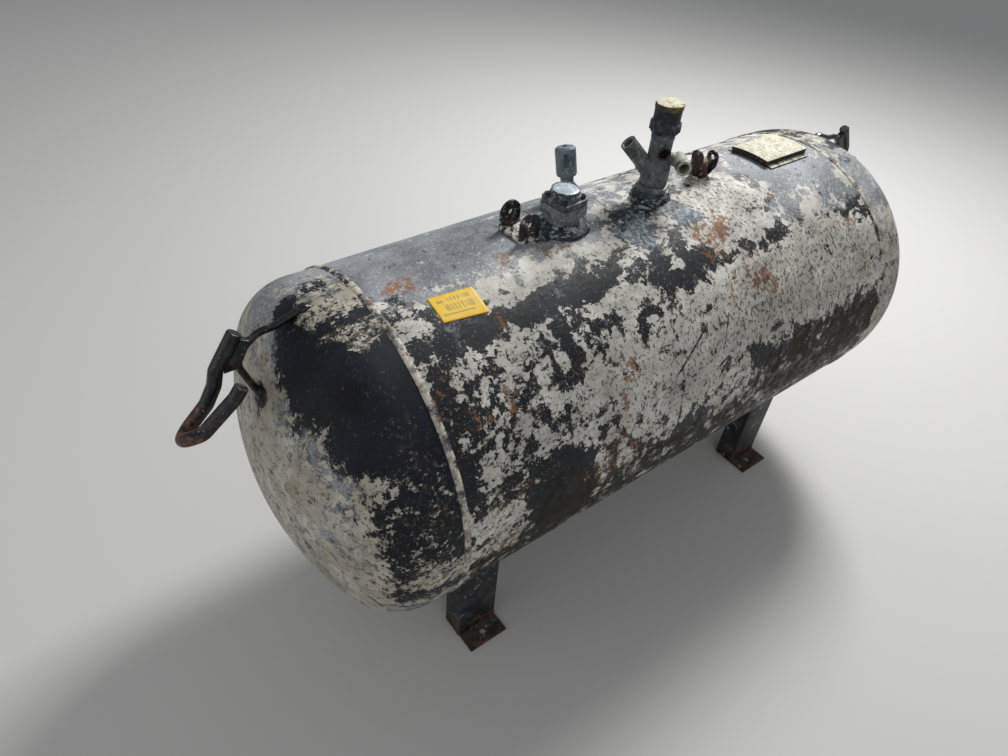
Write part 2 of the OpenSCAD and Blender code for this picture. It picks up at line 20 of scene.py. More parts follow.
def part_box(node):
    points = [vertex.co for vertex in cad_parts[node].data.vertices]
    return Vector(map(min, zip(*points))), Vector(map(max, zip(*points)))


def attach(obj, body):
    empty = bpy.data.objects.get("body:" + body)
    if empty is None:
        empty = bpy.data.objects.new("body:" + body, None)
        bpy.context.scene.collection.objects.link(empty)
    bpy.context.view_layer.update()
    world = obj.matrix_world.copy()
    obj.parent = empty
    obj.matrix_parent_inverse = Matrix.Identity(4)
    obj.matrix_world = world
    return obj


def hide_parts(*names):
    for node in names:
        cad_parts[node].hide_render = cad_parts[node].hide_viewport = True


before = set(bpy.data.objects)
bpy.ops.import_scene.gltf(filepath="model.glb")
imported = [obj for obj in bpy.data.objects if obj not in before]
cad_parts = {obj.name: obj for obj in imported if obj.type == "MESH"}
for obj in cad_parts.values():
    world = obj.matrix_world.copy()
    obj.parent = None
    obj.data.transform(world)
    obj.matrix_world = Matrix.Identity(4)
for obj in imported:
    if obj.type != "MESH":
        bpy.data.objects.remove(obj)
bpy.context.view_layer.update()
LOG = logging.getLogger("pressure_tank")

MM = 0.001
BARREL_LOW, BARREL_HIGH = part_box("barrel")
RADIUS = (BARREL_HIGH.z - BARREL_LOW.z) / 2 / MM
AXIS = (BARREL_HIGH.z + BARREL_LOW.z) / 2 / MM
SEAM = BARREL_HIGH.x / MM
TOP = AXIS + RADIUS
# Octaves of the noise that shapes each layer's islands, and the spread of its first one.
OCTAVES, SPREAD = 8, 0.125

Shape = bmesh.types.BMesh
Tree = bpy.types.NodeTree
Socket = bpy.types.NodeSocket
Feed = float | tuple | Socket
Triple = tuple[float, float, float]


def linear(colour: str) -> tuple[float, float, float, float]:
    """Turns an sRGB hex colour into Blender's linear values.

    Args:
        colour: Colour such as "#c8c2b4".

    Returns:
        Red, green, blue and an alpha of 1.
    """
    parts = [int(colour[i:i + 2], 16) / 255 for i in (1, 3, 5)]
    return (*[p / 12.92 if p <= 0.04045 else ((p + 0.055) / 1.055) ** 2.4 for p in parts], 1.0)


def plug(tree: Tree, node: bpy.types.Node, feeds: dict[int | str, Feed]) -> None:
    """Gives a node's inputs their links and values.

    Args:
        tree: Node tree of a material.
        node: One of its nodes.
        feeds: What goes into each input, a number, a tuple or another node's output.
    """
    for name, value in feeds.items():
        if isinstance(value, Socket):
            tree.links.new(value, node.inputs[name])
        else:
            node.inputs[name].default_value = value


def add_node(
    tree: Tree, kind: str, feeds: dict[int | str, Feed] | None = None, out: int = 0, **settings: object
) -> Socket:
    """Adds a node with its settings and links.

    Args:
        tree: Node tree of a material.
        kind: Blender's name of the node type.
        feeds: What goes into its inputs.
        out: Which output to hand back.
        **settings: The node's own settings.

    Returns:
        The chosen output.
    """
    node = tree.nodes.new(kind)
    for name, value in settings.items():
        setattr(node, name, value)
    plug(tree, node, feeds or {})
    return node.outputs[out]


def calc(tree: Tree, operation: str, *values: Feed) -> Socket:
    """Adds a maths node."""
    return add_node(tree, "ShaderNodeMath", dict(enumerate(values)), operation=operation)


def ramp(tree: Tree, value: Feed, low: float, high: float, start: float = 0.0, end: float = 1.0,
         clamp: bool = True) -> Socket:
    """Runs from start, where the value is low, to end, where it is high."""
    return add_node(tree, "ShaderNodeMapRange", {0: value, 1: low, 2: high, 3: start, 4: end}, clamp=clamp)


def blend(tree: Tree, mask: Feed, under: Feed, over: Feed) -> Socket:
    """Lays one colour over another, as far as the mask is 1."""
    return add_node(tree, "ShaderNodeMix", {0: mask, 6: under, 7: over}, out=2, data_type="RGBA")


def cloud(tree: Tree, point: Socket, grain: float, detail: float, ragged: float = 0.5) -> Socket:
    """Adds noise with lumps of a size in millimetres."""
    return add_node(tree, "ShaderNodeTexNoise", {"Vector": point, "Scale": 1 / (grain * MM), "Detail": detail,
                                                 "Roughness": ragged})


def coordinates(tree: Tree, out: int = 3) -> Socket:
    """Gives each point's object coordinates, or with out 2 those of its UV map."""
    return add_node(tree, "ShaderNodeTexCoord", out=out)


def axes(tree: Tree, vector: Socket) -> tuple[Socket, Socket, Socket]:
    """Splits a vector into its three numbers."""
    return tuple(add_node(tree, "ShaderNodeSeparateXYZ", {0: vector}).node.outputs)


def unrolled(tree: Tree) -> Socket:
    """Unrolls the barrel.

    Args:
        tree: The material's node tree.

    Returns:
        Metres along the barrel and round it from its top line, with 0 as the third.
    """
    x, y, z = axes(tree, coordinates(tree))
    angle = calc(tree, "ARCTAN2", y, calc(tree, "SUBTRACT", z, AXIS * MM))
    return add_node(tree, "ShaderNodeCombineXYZ", {0: x, 1: calc(tree, "MULTIPLY", angle, RADIUS * MM)})


def blank_material(name: str) -> tuple[bpy.types.Material, Tree, bpy.types.Node]:
    """Adds a material, and hands it back with its node tree and its shader."""
    made = bpy.data.materials.new(name)
    made.use_nodes = True
    return made, made.node_tree, made.node_tree.nodes["Principled BSDF"]


def added(name: str, data: bpy.types.ID) -> bpy.types.Object:
    """Adds an object to the scene."""
    thing = bpy.data.objects.new(name, data)
    bpy.context.collection.objects.link(thing)
    return thing


class Source(Enum):
    """What draws a layer to one part of a piece."""

    FACING = "how far the face looks along an axis, from -1 to 1"
    PLACE = "millimetres along an axis"
    BEND = "0.5 on the flat, more on ridges and less in grooves"
    ZONE = "a value painted on the piece's points"


class Zone(Enum):
    """What a patch of the old shell has more or less of, as its points carry it."""

    CREAM = "cream"
    CHALK_AND_SHEEN = "chalk_and_sheen"
    RUST = "rust"
    DARKENING = "darkening"
    STAIN_AND_SHADOW = "stain_and_shadow"


class Pattern(Enum):
    """The outline that a layer's islands have."""

    FLAKES = "ragged islands"
    CRACKS = "a net of fine lines"


class Sheet(Enum):
    """The coordinates that a pattern lies in."""

    OBJECT = "straight through the piece"
    AROUND = "unrolled from the barrel, along it and round it"


class Plate(Enum):
    """Which plate a shell finish is for, with the sheet that its fine patterns lie in."""

    BARREL = Sheet.AROUND
    HEAD = Sheet.OBJECT


@dataclass(frozen=True)
class Stroke:
    """A scratch or a worn line on the unrolled barrel.

    It has its middle, in millimetres along the barrel and degrees round it from the top, half its length and
    width, its slant from the barrel's length and how hard it pulls a layer away.
    """

    x: float
    angle: float
    half_length: float
    half_width: float
    slant: float
    pull: float

    def bias(self, tree: Tree, spread: float) -> Socket:
        """Works out the pull at each point, as Draw does."""
        place = add_node(tree, "ShaderNodeMapping", {
            0: unrolled(tree), "Location": (self.x * MM, math.radians(self.angle) * RADIUS * MM, 0),
            "Rotation": (0, 0, math.radians(self.slant)),
            "Scale": (self.half_length * MM, self.half_width * MM, 1)}, vector_type="TEXTURE")
        near = add_node(tree, "ShaderNodeTexGradient", {0: place}, out=1, gradient_type="SPHERICAL")
        return calc(tree, "MULTIPLY", near, self.pull * spread)


@dataclass(frozen=True)
class Draw:
    """Pulls a layer towards one part of a piece, or away from it when pull is negative."""

    source: Source
    low: float
    high: float
    pull: float
    axis: str = "Z"
    zone: Zone | None = None

    def bias(self, tree: Tree, spread: float) -> Socket:
        """Works out the pull at each point.

        Args:
            tree: The material's node tree.
            spread: The spread of the noise that it pulls.

        Returns:
            A value from 0 to pull times spread.
        """
        low, high = self.low, self.high
        if self.source is Source.ZONE:
            value = add_node(tree, "ShaderNodeAttribute", out=2, attribute_name=self.zone.value)
        elif self.source is Source.BEND:
            value = add_node(tree, "ShaderNodeNewGeometry", out=7)
        elif self.source is Source.FACING:
            value = axes(tree, add_node(tree, "ShaderNodeNewGeometry", out=1))["XYZ".index(self.axis)]
        else:
            value = axes(tree, coordinates(tree))["XYZ".index(self.axis)]
            low, high = low * MM, high * MM
        return ramp(tree, value, low, high, 0.0, self.pull * spread, clamp=self.source is not Source.ZONE)


def zoned(zone: Zone, pull: float) -> Draw:
    """Pulls a layer to a zone of the shell."""
    return Draw(Source.ZONE, 0, 1, pull, zone=zone)


def facing(low: float, high: float, pull: float) -> Draw:
    """Pulls a layer to faces by how far they look up."""
    return Draw(Source.FACING, low, high, pull)


def heights(low: float, high: float, pull: float) -> Draw:
    """Pulls a layer in from one height above the floor to another."""
    return Draw(Source.PLACE, low, high, pull)


@dataclass(frozen=True)
class Layer:
    """One coat, stain or bare patch over what lies below it.

    share is the part of the surface that it covers before its draws pull it about. grain is the size of its
    islands, stretch flattens them along an axis, edge is how soft their rims are and step how far they stand
    proud.
    """

    shades: tuple[str, str]
    share: float
    grain: float
    roughness: float
    edge: float = 0.012
    step: float = 0.0
    opacity: float = 1.0
    metallic: float = 0.0
    ragged: float = 0.62
    stretch: Triple = (1.0, 1.0, 1.0)
    pattern: Pattern = Pattern.FLAKES
    sheet: Sheet = Sheet.OBJECT
    draws: tuple[Draw | Stroke, ...] = ()

    def mask(self, tree: Tree, sheets: dict[Sheet, Socket]) -> Socket:
        """Lays out where the layer shows.

        Args:
            tree: The material's node tree.
            sheets: The point's coordinates on each sheet, in metres.

        Returns:
            0 where it is missing, 1 where it lies.
        """
        point = add_node(tree, "ShaderNodeMapping", {0: sheets[self.sheet], "Scale": self.stretch})
        if self.pattern is Pattern.CRACKS:
            value = add_node(tree, "ShaderNodeTexVoronoi", {"Vector": point, "Scale": 1 / (self.grain * MM)},
                             feature="DISTANCE_TO_EDGE")
            return ramp(tree, value, self.share, self.share + self.edge, self.opacity, 0.0)
        value = cloud(tree, point, self.grain, OCTAVES, self.ragged)
        # Each octave adds ragged times the one before it, which fixes how far the values spread round 0.5.
        parts = [self.ragged ** i for i in range(OCTAVES + 1)]
        spread = SPREAD * math.sqrt(sum(p * p for p in parts)) / sum(parts)
        for draw in self.draws:
            value = calc(tree, "ADD", value, draw.bias(tree, spread))
        level = 0.5 - spread * NormalDist().inv_cdf(self.share)
        return ramp(tree, value, level - self.edge, level + self.edge, 0.0, self.opacity)


@dataclass(frozen=True)
class Finish:
    """A surface as it was made and as it has aged: a base with layers over it."""

    name: str
    shades: tuple[str, str]
    roughness: float
    layers: tuple[Layer, ...] = ()
    metallic: float = 0.0
    mottle: float = 40.0
    grit: float = 3.0
    grit_depth: float = 0.05
    gloss: float = 0.5

    def material(self) -> bpy.types.Material:
        """Makes the material, or finds it if another piece has it already.

        Returns:
            The material.
        """
        known = bpy.data.materials.get(self.name)
        if known:
            return known
        made, tree, shader = blank_material(self.name)
        point = coordinates(tree)
        sheets = {Sheet.OBJECT: point}
        if any(layer.sheet is Sheet.AROUND for layer in self.layers):
            sheets[Sheet.AROUND] = unrolled(tree)
        mottle = ramp(tree, cloud(tree, point, self.mottle, 5, 0.6), 0.38, 0.62)
        colour = blend(tree, mottle, *map(linear, self.shades))
        height = calc(tree, "MULTIPLY", cloud(tree, point, self.grit, 3), self.grit_depth)
        levels: dict[str, Feed] = {"roughness": self.roughness, "metallic": self.metallic}
        for layer in self.layers:
            mask = layer.mask(tree, sheets)
            colour = blend(tree, mask, colour, blend(tree, mottle, *map(linear, layer.shades)))
            for name, level in levels.items():
                own = getattr(layer, name)
                if own != getattr(self, name) or isinstance(level, Socket):
                    levels[name] = add_node(tree, "ShaderNodeMix", {0: mask, 2: level, 3: own})
            if layer.step:
                height = calc(tree, "MULTIPLY_ADD", mask, layer.step, height)
        bump = add_node(tree, "ShaderNodeBump", {"Height": height, "Distance": MM, "Strength": 1.0})
        plug(tree, shader, {"Base Color": colour, "Roughness": levels["roughness"], "Normal": bump,
                            "Metallic": levels["metallic"], "Specular IOR Level": self.gloss})
        return made


@dataclass(frozen=True)
class DecalSheet:
    """Printed vinyl sheet: flat yellow with dull bars in place of print, faded and dirty at its edges."""

    yellow: str = "#f2c70e"
    worn: str = "#e8b90c"
    print_grey: str = "#8a7a3c"
    ink: float = 0.7
    wear: float = 6.25
    ticks: float = 26.0

    def material(self) -> bpy.types.Material:
        """Makes the material on the sheet's own UV map.

        Returns:
            The material.
        """
        made, tree, shader = blank_material("faded_printed_vinyl")
        u, v, _ = axes(tree, coordinates(tree, out=2))
        wear = ramp(tree, cloud(tree, coordinates(tree), self.wear, 6), 0.4, 0.65)
        colour = blend(tree, wear, linear(self.yellow), linear(self.worn))
        way = calc(tree, "MULTIPLY", u, self.ticks)
        ticks = add_node(tree, "ShaderNodeTexNoise", {"W": way, "Scale": 1.0, "Detail": 0.0},
                         noise_dimensions="1D")
        ticks = calc(tree, "GREATER_THAN", ticks, 0.5)
        ink: Feed = 0.0
        # Upright ticks and two solid rules, each in a band of u and v.
        for u_low, u_high, v_low, v_high, bars in (
                (0.22, 0.92, 0.36, 0.60, ticks), (0.10, 0.78, 0.22, 0.27, 1.0),
                (0.34, 0.88, 0.70, 0.86, ticks), (0.12, 0.26, 0.70, 0.80, 1.0)):
            for place, low, high in ((u, u_low, u_high), (v, v_low, v_high)):
                inside = calc(tree, "COMPARE", place, (low + high) / 2, (high - low) / 2)
                bars = calc(tree, "MULTIPLY", bars, inside)
            ink = calc(tree, "MAXIMUM", ink, bars)
        colour = blend(tree, calc(tree, "MULTIPLY", ink, self.ink), colour, linear(self.print_grey))
        plug(tree, shader, {"Base Color": colour, "Roughness": 0.45})
        return made


# Lines worn through the cream coat: where straps lay, and scratches.
BARREL_STROKES = (
    Stroke(-340, -50, 118, 6, 88, -3.6), Stroke(-334, -46, 80, 5, 93, -2.8),
    Stroke(-300, -46, 75, 5, 91, -3.2), Stroke(-65, -61, 82, 3, 34, -4.6), Stroke(38, -60, 62, 3, 66, -3.6),
    Stroke(20, -69, 30, 3.5, 20, -4.4), Stroke(-110, -72, 22, 3.5, 80, -4),
    Stroke(-520, -59, 60, 7, 22, -4.6), Stroke(-92, -82, 60, 4, 85, -3.6), Stroke(200, -46, 40, 4, 20, -3),
)


def shell_paint(plate: Plate) -> Finish:
    """Gives the paint of the barrel or of a head.

    Old paint on rolled steel: a bluish black coat with a chalky cream coat flaking off it in ragged crisp
    islands. The top is grey and speckled, partly chalked and partly a painted sheen of glare; rust breaks
    through where water stood, and the underside is darker and browner. Blue-black patches round the feet of
    the fittings are partly old paint and mostly their painted shadow, and the heads' coats are darker than
    the barrel's, their black bluer: painted shade.

    Args:
        plate: Which plate it is for.

    Returns:
        The finish.
    """
    sheet = plate.value
    barrel = plate is Plate.BARREL
    # Painted shade: both coats of the heads are darker than the barrel's, and their black bluer, as the heads
    # stand in shade.
    coat = ("#15181e", "#22262c") if barrel else ("#0a1017", "#141d28")
    cream = ("#b9b6ad", "#dfdcd3") if barrel else ("#aba494", "#c9c4b8")
    long_grain, short_grain = (0.7, 1.25, 1), (1.3, 0.8, 1)
    # Blue-black patches with crisp rims round the feet of the fittings, with pale blue flakes in them: partly
    # dark old paint, mostly the painted shadow that the valve and gauge cast, bluish as shade is.
    stain_and_shadow = (
        Layer(("#1a2530", "#2f3e4b"), 0.002, 16, 0.5, edge=0.008, opacity=0.94, step=-0.1, ragged=0.68,
              draws=(zoned(Zone.STAIN_AND_SHADOW, 3.6),)),
        Layer(("#8798a3", "#a9b7bf"), 0.0005, 10, 0.6, opacity=0.85, ragged=0.7,
              draws=(zoned(Zone.STAIN_AND_SHADOW, 2.3),)),
    ) if barrel else ()
    layers = (
        # Brown breath of rust under the black coat.
        Layer(("#2b2522", "#392f28"), 0.12 if barrel else 0.02, 30, 0.6, edge=0.03, opacity=0.35),
        # Coat chalked grey, soft at its rims; on the barrel's top it is partly a painted sheen of glare.
        Layer(("#74797f", "#999ea4"), 0.004, 50, 0.55, edge=0.05, opacity=0.95, ragged=0.7,
              draws=(zoned(Zone.CHALK_AND_SHEEN, 5.5),)),
        # Dark and pale pinpricks, mostly in the chalked coat, drawn as coarse as the picture can show.
        Layer(("#45474d", "#5b5e63"), 0.02, 4, 0.55, edge=0.03, opacity=0.35, ragged=0.7, sheet=sheet,
              stretch=short_grain, draws=(zoned(Zone.CHALK_AND_SHEEN, 0.6),)),
        Layer(("#b3b3ae", "#d5d1c4"), 0.035, 5, 0.6, opacity=0.85, ragged=0.7, sheet=sheet,
              stretch=short_grain, draws=(zoned(Zone.CHALK_AND_SHEEN, 0.85), zoned(Zone.CREAM, 0.25))),
        # The cream coat that is left, in islands of every size down to a speck.
        Layer(cream, 0.5, 30 if barrel else 15, 0.62, edge=0.006, step=0.35, ragged=0.68 if barrel else 0.74,
              draws=(zoned(Zone.CREAM, 1.0), *(BARREL_STROKES if barrel else ()))),
        # Film of dirt in it, in clouds.
        Layer(("#4a443a", "#5c5549"), 0.2, 26, 0.65, edge=0.06, opacity=0.24, ragged=0.7, sheet=sheet,
              stretch=(0.6, 1.2, 1), draws=(zoned(Zone.CREAM, 0.7),)),
        # Small chips in it down to the black coat, longer along the tank, and brown ones where it holds best.
        Layer(coat, 0.065, 11 if barrel else 7, 0.55, edge=0.008, step=-0.25, ragged=0.69, sheet=sheet,
              stretch=long_grain, draws=(zoned(Zone.CREAM, -0.3), zoned(Zone.CHALK_AND_SHEEN, -2.4))),
        Layer(("#383128", "#5d5140"), 0.038, 8, 0.6, step=-0.2, opacity=0.85, ragged=0.7, sheet=sheet,
              stretch=short_grain, draws=(zoned(Zone.CREAM, 0.4), zoned(Zone.CHALK_AND_SHEEN, -1.0))),
        *stain_and_shadow,
        # Rust, lighter where it is fresh.
        Layer(("#6e4832", "#a06f48"), 0.002, 12, 0.8, edge=0.016, opacity=0.85, step=0.1, ragged=0.7,
              draws=(zoned(Zone.RUST, 2.7),)),
        # Darker brown, heaviest on the underside.
        Layer(("#211d14", "#3b3424"), 0.01, 24, 0.8, edge=0.04, opacity=0.82, stretch=(1.6, 1, 1), ragged=0.7,
              draws=(zoned(Zone.DARKENING, 2.6),)),
    )
    return Finish(f"flaked_enamel_on_rolled_{plate.name.lower()}", coat, 0.5, layers, mottle=80, grit=4,
                  grit_depth=0.1, gloss=0.25)


# Weld bead under the same two coats: grey and cream islands over the dark one, with rust.
WELD_PAINT = Finish("flaked_enamel_on_weld_bead", ("#26272b", "#46474a"), 0.55, mottle=30, layers=(
    Layer(("#8d8c88", "#a5a198"), 0.4, 30, 0.6, edge=0.04, opacity=0.8),
    Layer(("#b5b0a2", "#d0cabb"), 0.42, 22, 0.62, edge=0.01, step=0.2, ragged=0.74),
    Layer(("#6e4531", "#8c5a41"), 0.08, 9, 0.8, edge=0.02, opacity=0.8),
))

# Black enamel brushed on bent bar: half gloss, rusted through low down, with a slate bloom and pale flecks.
BAR_PAINT = Finish("brushed_black_enamel_on_bar", ("#08090d", "#131519"), 0.32, mottle=25, grit=5,
                   grit_depth=0.12, layers=(
    Layer(("#20262c", "#343b42"), 0.16, 22, 0.45, edge=0.05, opacity=0.6, ragged=0.68),
    Layer(("#38231d", "#8d5f4d"), 0.008, 16, 0.75, edge=0.03, step=-0.15, opacity=0.9, ragged=0.68,
          draws=(heights(695, 640, 2.6), facing(0.0, 0.7, 0.9))),
    Layer(("#7e857f", "#a3a49c"), 0.006, 5, 0.7, edge=0.01, step=0.1, ragged=0.68),
))

# Black paint on cut plate, flaked to grey-white primer, cream on the foot of the bracket.
BRACKET_PAINT = Finish("flaked_black_paint_on_plate", ("#0e0f12", "#1a1c1f"), 0.45, mottle=20, layers=(
    Layer(("#6f7273", "#a09e97"), 0.11, 15, 0.65, step=-0.15, ragged=0.74),
    Layer(("#c1bcae", "#d8d2c4"), 0.02, 10, 0.62, edge=0.01, step=0.1, ragged=0.72,
          draws=(heights(TOP + 12, TOP + 4, 2.4),)),
    Layer(("#5a3325", "#7a4a35"), 0.04, 9, 0.8, edge=0.02),
))

# The latch's upright: black paint gone brown with rust.
LATCH_PAINT = Finish("rusting_black_paint_on_plate", ("#120f11", "#211718"), 0.5, mottle=14, layers=(
    Layer(("#3a2520", "#573a30"), 0.22, 12, 0.75, edge=0.03, ragged=0.7),
    Layer(("#8e8a84", "#b0aaa1"), 0.04, 8, 0.65, ragged=0.72),
))

# Bare mild steel rusted dark red-brown, with a pink painted highlight on the faces that look up.
RUSTY_STEEL = Finish("rusted_mild_steel", ("#33201c", "#4e302a"), 0.75, mottle=12, grit=2.5, grit_depth=0.2,
                     layers=(
    Layer(("#1a1211", "#241815"), 0.2, 9, 0.7, edge=0.03),
    Layer(("#9a7567", "#bd9b88"), 0.03, 10, 0.8, edge=0.03, draws=(facing(0.3, 0.7, 3.6),)),
))

# Flaked blue-black paint on the turned couplings, with pale blue-white islands.
COUPLING_PAINT = Finish("flaked_blue_paint_on_forged_coupling", ("#10151c", "#222b36"), 0.5, mottle=18,
                        layers=(
    Layer(("#35404a", "#4c5862"), 0.25, 14, 0.6, edge=0.04, opacity=0.7, ragged=0.68),
    Layer(("#7d8e99", "#adb9be"), 0.08, 13, 0.62, edge=0.01, step=0.2, ragged=0.7, stretch=(1, 1, 1.5),
          draws=(facing(0.0, 0.8, 0.6),)),
))

# Forged brass gone dull grey: dark in its grooves, rubbed lighter on its ridges, stained brown in places.
VALVE_BRASS = Finish("weathered_forged_brass", ("#4e575b", "#6c7578"), 0.5, metallic=0.2, mottle=16, grit=2.5,
                     grit_depth=0.08, layers=(
    Layer(("#262a2d", "#363b3d"), 0.1, 16, 0.6, edge=0.05, opacity=0.85, metallic=0.1, ragged=0.7,
          draws=(Draw(Source.BEND, 0.495, 0.45, 3.0),)),
    Layer(("#858a86", "#9da09a"), 0.03, 11, 0.45, edge=0.05, opacity=0.8, metallic=0.3, ragged=0.7,
          draws=(Draw(Source.BEND, 0.515, 0.57, 2.0), facing(0.3, 0.9, 0.9))),
    Layer(("#4d443c", "#5f5145"), 0.07, 14, 0.7, edge=0.05, opacity=0.6, ragged=0.7),
))

# The same brass at the mouth of an open port, red-brown with oxide.
PORT_OXIDE = Finish("red_brown_oxide_in_port", ("#211510", "#38251e"), 0.7, mottle=8, layers=(
    Layer(("#4a3a32", "#67564a"), 0.15, 6, 0.8, edge=0.02, ragged=0.7),
))

# Lime scale over brass: cream, olive where it faces the sky.
ELBOW_SCALE = Finish("lime_scale_on_brass", ("#8d9087", "#b5b5a4"), 0.6, mottle=16, grit_depth=0.08, layers=(
    Layer(("#8f8c6c", "#a5a182"), 0.04, 16, 0.65, edge=0.04, opacity=0.8, draws=(facing(0.5, 0.95, 1.5),)),
    Layer(("#3f4648", "#5a6161"), 0.1, 12, 0.55, edge=0.03, metallic=0.2, ragged=0.7),
))

# Moulded plastic in dark slate with a dull bloom where it faces the sky.
SLATE_PLASTIC = Finish("moulded_slate_plastic", ("#1c2228", "#2f373f"), 0.5, mottle=14, layers=(
    Layer(("#525c64", "#69737a"), 0.12, 12, 0.62, edge=0.05, opacity=0.7, draws=(facing(0.1, 0.9, 1.4),)),
    Layer(("#0c0e11", "#131619"), 0.1, 9, 0.5, edge=0.03),
))

# Black plastic of the thread below the cap, with a painted highlight on the faces of its ridges that look up.
THREAD_PLASTIC = Finish("moulded_black_plastic_thread", ("#15181b", "#23272b"), 0.4, mottle=8, layers=(
    Layer(("#3a4046", "#50565b"), 0.1, 5, 0.6, edge=0.03, draws=(facing(0.2, 0.7, 1.4),)),
))

# Moulded cap bleached to cream and chalky, with yellow-brown moss along its front rim and a dark side.
CAP_PLASTIC = Finish("chalky_moulded_cap", ("#c4bf9f", "#d8d4ba"), 0.7, mottle=12, grit_depth=0.02, layers=(
    Layer(("#a39e7f", "#b3ad8e"), 0.2, 12, 0.75, edge=0.04, opacity=0.6),
    Layer(("#272a28", "#43463f"), 0.01, 8, 0.7, edge=0.03, draws=(facing(0.6, 0.15, 5.0),)),
    Layer(("#5c5322", "#94802f"), 0.006, 5, 0.85, edge=0.015, step=0.15, ragged=0.68,
          draws=(Draw(Source.PLACE, -12, -25, 2.4, axis="Y"), heights(957, 960, 0.8))),
))

# Die-cast zinc of the gauge: mid grey, speckled with white corrosion and dark specks, its dark patches
# closing up at its foot into painted shade under the flange.
ZINC_CASTING = Finish("weathered_zinc_casting", ("#62696c", "#828887"), 0.6, metallic=0.1, mottle=18,
                      grit=2.2, grit_depth=0.12, layers=(
    Layer(("#2f3335", "#43474a"), 0.1, 14, 0.65, edge=0.04, opacity=0.8, ragged=0.72,
          draws=(heights(804, 798, 1.5),)),
    Layer(("#a5a8a2", "#bcbeb5"), 0.09, 5, 0.7, edge=0.015, opacity=0.8, step=0.08, ragged=0.7),
    Layer(("#33373a", "#44484b"), 0.06, 4, 0.65, edge=0.015, opacity=0.7, ragged=0.7),
))

# The gauge head above it is darker, with dull blue-grey paint.
GAUGE_HEAD_PAINT = Finish("dull_blue_grey_paint_on_casting", ("#363e44", "#545d64"), 0.55, mottle=14, layers=(
    Layer(("#121416", "#1e2124"), 0.16, 12, 0.6, edge=0.04, opacity=0.8),
    Layer(("#7f868a", "#9ba2a3"), 0.06, 8, 0.65, edge=0.02, ragged=0.72, draws=(facing(0.4, 0.9, 0.8),)),
))

# Steel screws gone nearly black.
SCREW_STEEL = Finish("blackened_steel_screw", ("#111214", "#202226"), 0.45, metallic=0.4, mottle=6, layers=(
    Layer(("#4a4e52", "#66696b"), 0.1, 4, 0.5, edge=0.03, metallic=0.4),
))

# Clear plastic lens hazed by the sun over a pale dial: milky blue.
DIAL_LENS = Finish("sun_hazed_clear_plastic_lens", ("#9aabb5", "#b8c5cc"), 0.3, mottle=14, grit_depth=0.02,
                   layers=(
    Layer(("#7d8d97", "#8f9da6"), 0.12, 10, 0.4, edge=0.04, opacity=0.5, ragged=0.7),
    Layer(("#e1e8ea", "#eff3f4"), 0.1, 12, 0.35, edge=0.04, opacity=0.6),
))

# Moulded ring that holds the lens, dark with a pale worn edge.
BEZEL_PLASTIC = Finish("worn_moulded_ring", ("#3c464d", "#59656d"), 0.5, mottle=10, layers=(
    Layer(("#16191c", "#22262a"), 0.3, 8, 0.6, edge=0.03),
    Layer(("#a2adb3", "#bfc8cb"), 0.12, 6, 0.5, edge=0.02, draws=(facing(0.6, 0.95, 0.8),)),
))

# Dull blue-grey paint on the relief valve's bonnet, streaked by rain.
RELIEF_PAINT = Finish("dull_grey_paint_on_turned_bonnet", ("#536065", "#74828a"), 0.52, mottle=26, layers=(
    Layer(("#363e44", "#4b555b"), 0.14, 22, 0.6, edge=0.05, opacity=0.75, stretch=(1.4, 1.4, 0.3)),
    Layer(("#9aa3a7", "#b4bbbc"), 0.035, 7, 0.65, edge=0.02, opacity=0.8, ragged=0.7),
))

# Cream paint of the data plate, dried into a net of hair cracks; bare, as the plate carries nothing here.
PLATE_PAINT = Finish("crazed_cream_paint_on_plate", ("#b9b398", "#d2ccb3"), 0.66, mottle=26, grit_depth=0.06,
                     layers=(
    Layer(("#88836e", "#a09b85"), 0.03, 8, 0.7, edge=0.02, opacity=0.6, pattern=Pattern.CRACKS),
    Layer(("#8d8973", "#a39f89"), 0.16, 14, 0.7, edge=0.03, opacity=0.55, ragged=0.74),
    Layer(("#dcd8c7", "#e8e5d8"), 0.14, 10, 0.6, edge=0.02, opacity=0.75, ragged=0.74),
    Layer(("#5d5848", "#78725f"), 0.05, 9, 0.7, opacity=0.7, ragged=0.76),
    # Painted shade: near black on the faces that do not look up, the plate's rims.
    Layer(("#1d1b18", "#2f2b26"), 0.005, 8, 0.65, edge=0.02, draws=(facing(0.6, 0.3, 5.0),)),
))

# The raised frame below it: black skirts, cream on the tops of its strips.
FRAME_PAINT = Finish("black_paint_on_raised_frame", ("#131315", "#292521"), 0.6, mottle=20, layers=(
    Layer(("#aaa592", "#c9c4b0"), 0.003, 12, 0.66, edge=0.02, step=0.1, ragged=0.72,
          draws=(facing(0.6, 0.9, 3.6),)),
    Layer(("#6b4a38", "#7f5a45"), 0.04, 9, 0.8, edge=0.02),
))

# Black paint on the legs, with a blue-white bloom near the weld and rust near the ground.
LEG_PAINT = Finish("weathered_black_paint_on_channel", ("#121418", "#202328"), 0.6, mottle=30, layers=(
    Layer(("#2c3138", "#434a52"), 0.14, 30, 0.6, edge=0.06, opacity=0.5, ragged=0.7),
    Layer(("#76858f", "#9fadb5"), 0.015, 16, 0.65, edge=0.015, step=0.15, ragged=0.74,
          draws=(heights(190, 245, 1.5),)),
    Layer(("#573527", "#7d5034"), 0.03, 20, 0.85, edge=0.02, step=0.1, ragged=0.74,
          draws=(heights(60, 8, 1.5),)),
    Layer(("#3b3428", "#52483a"), 0.02, 22, 0.9, edge=0.06, opacity=0.8, draws=(heights(50, 0, 2.5),)),
))


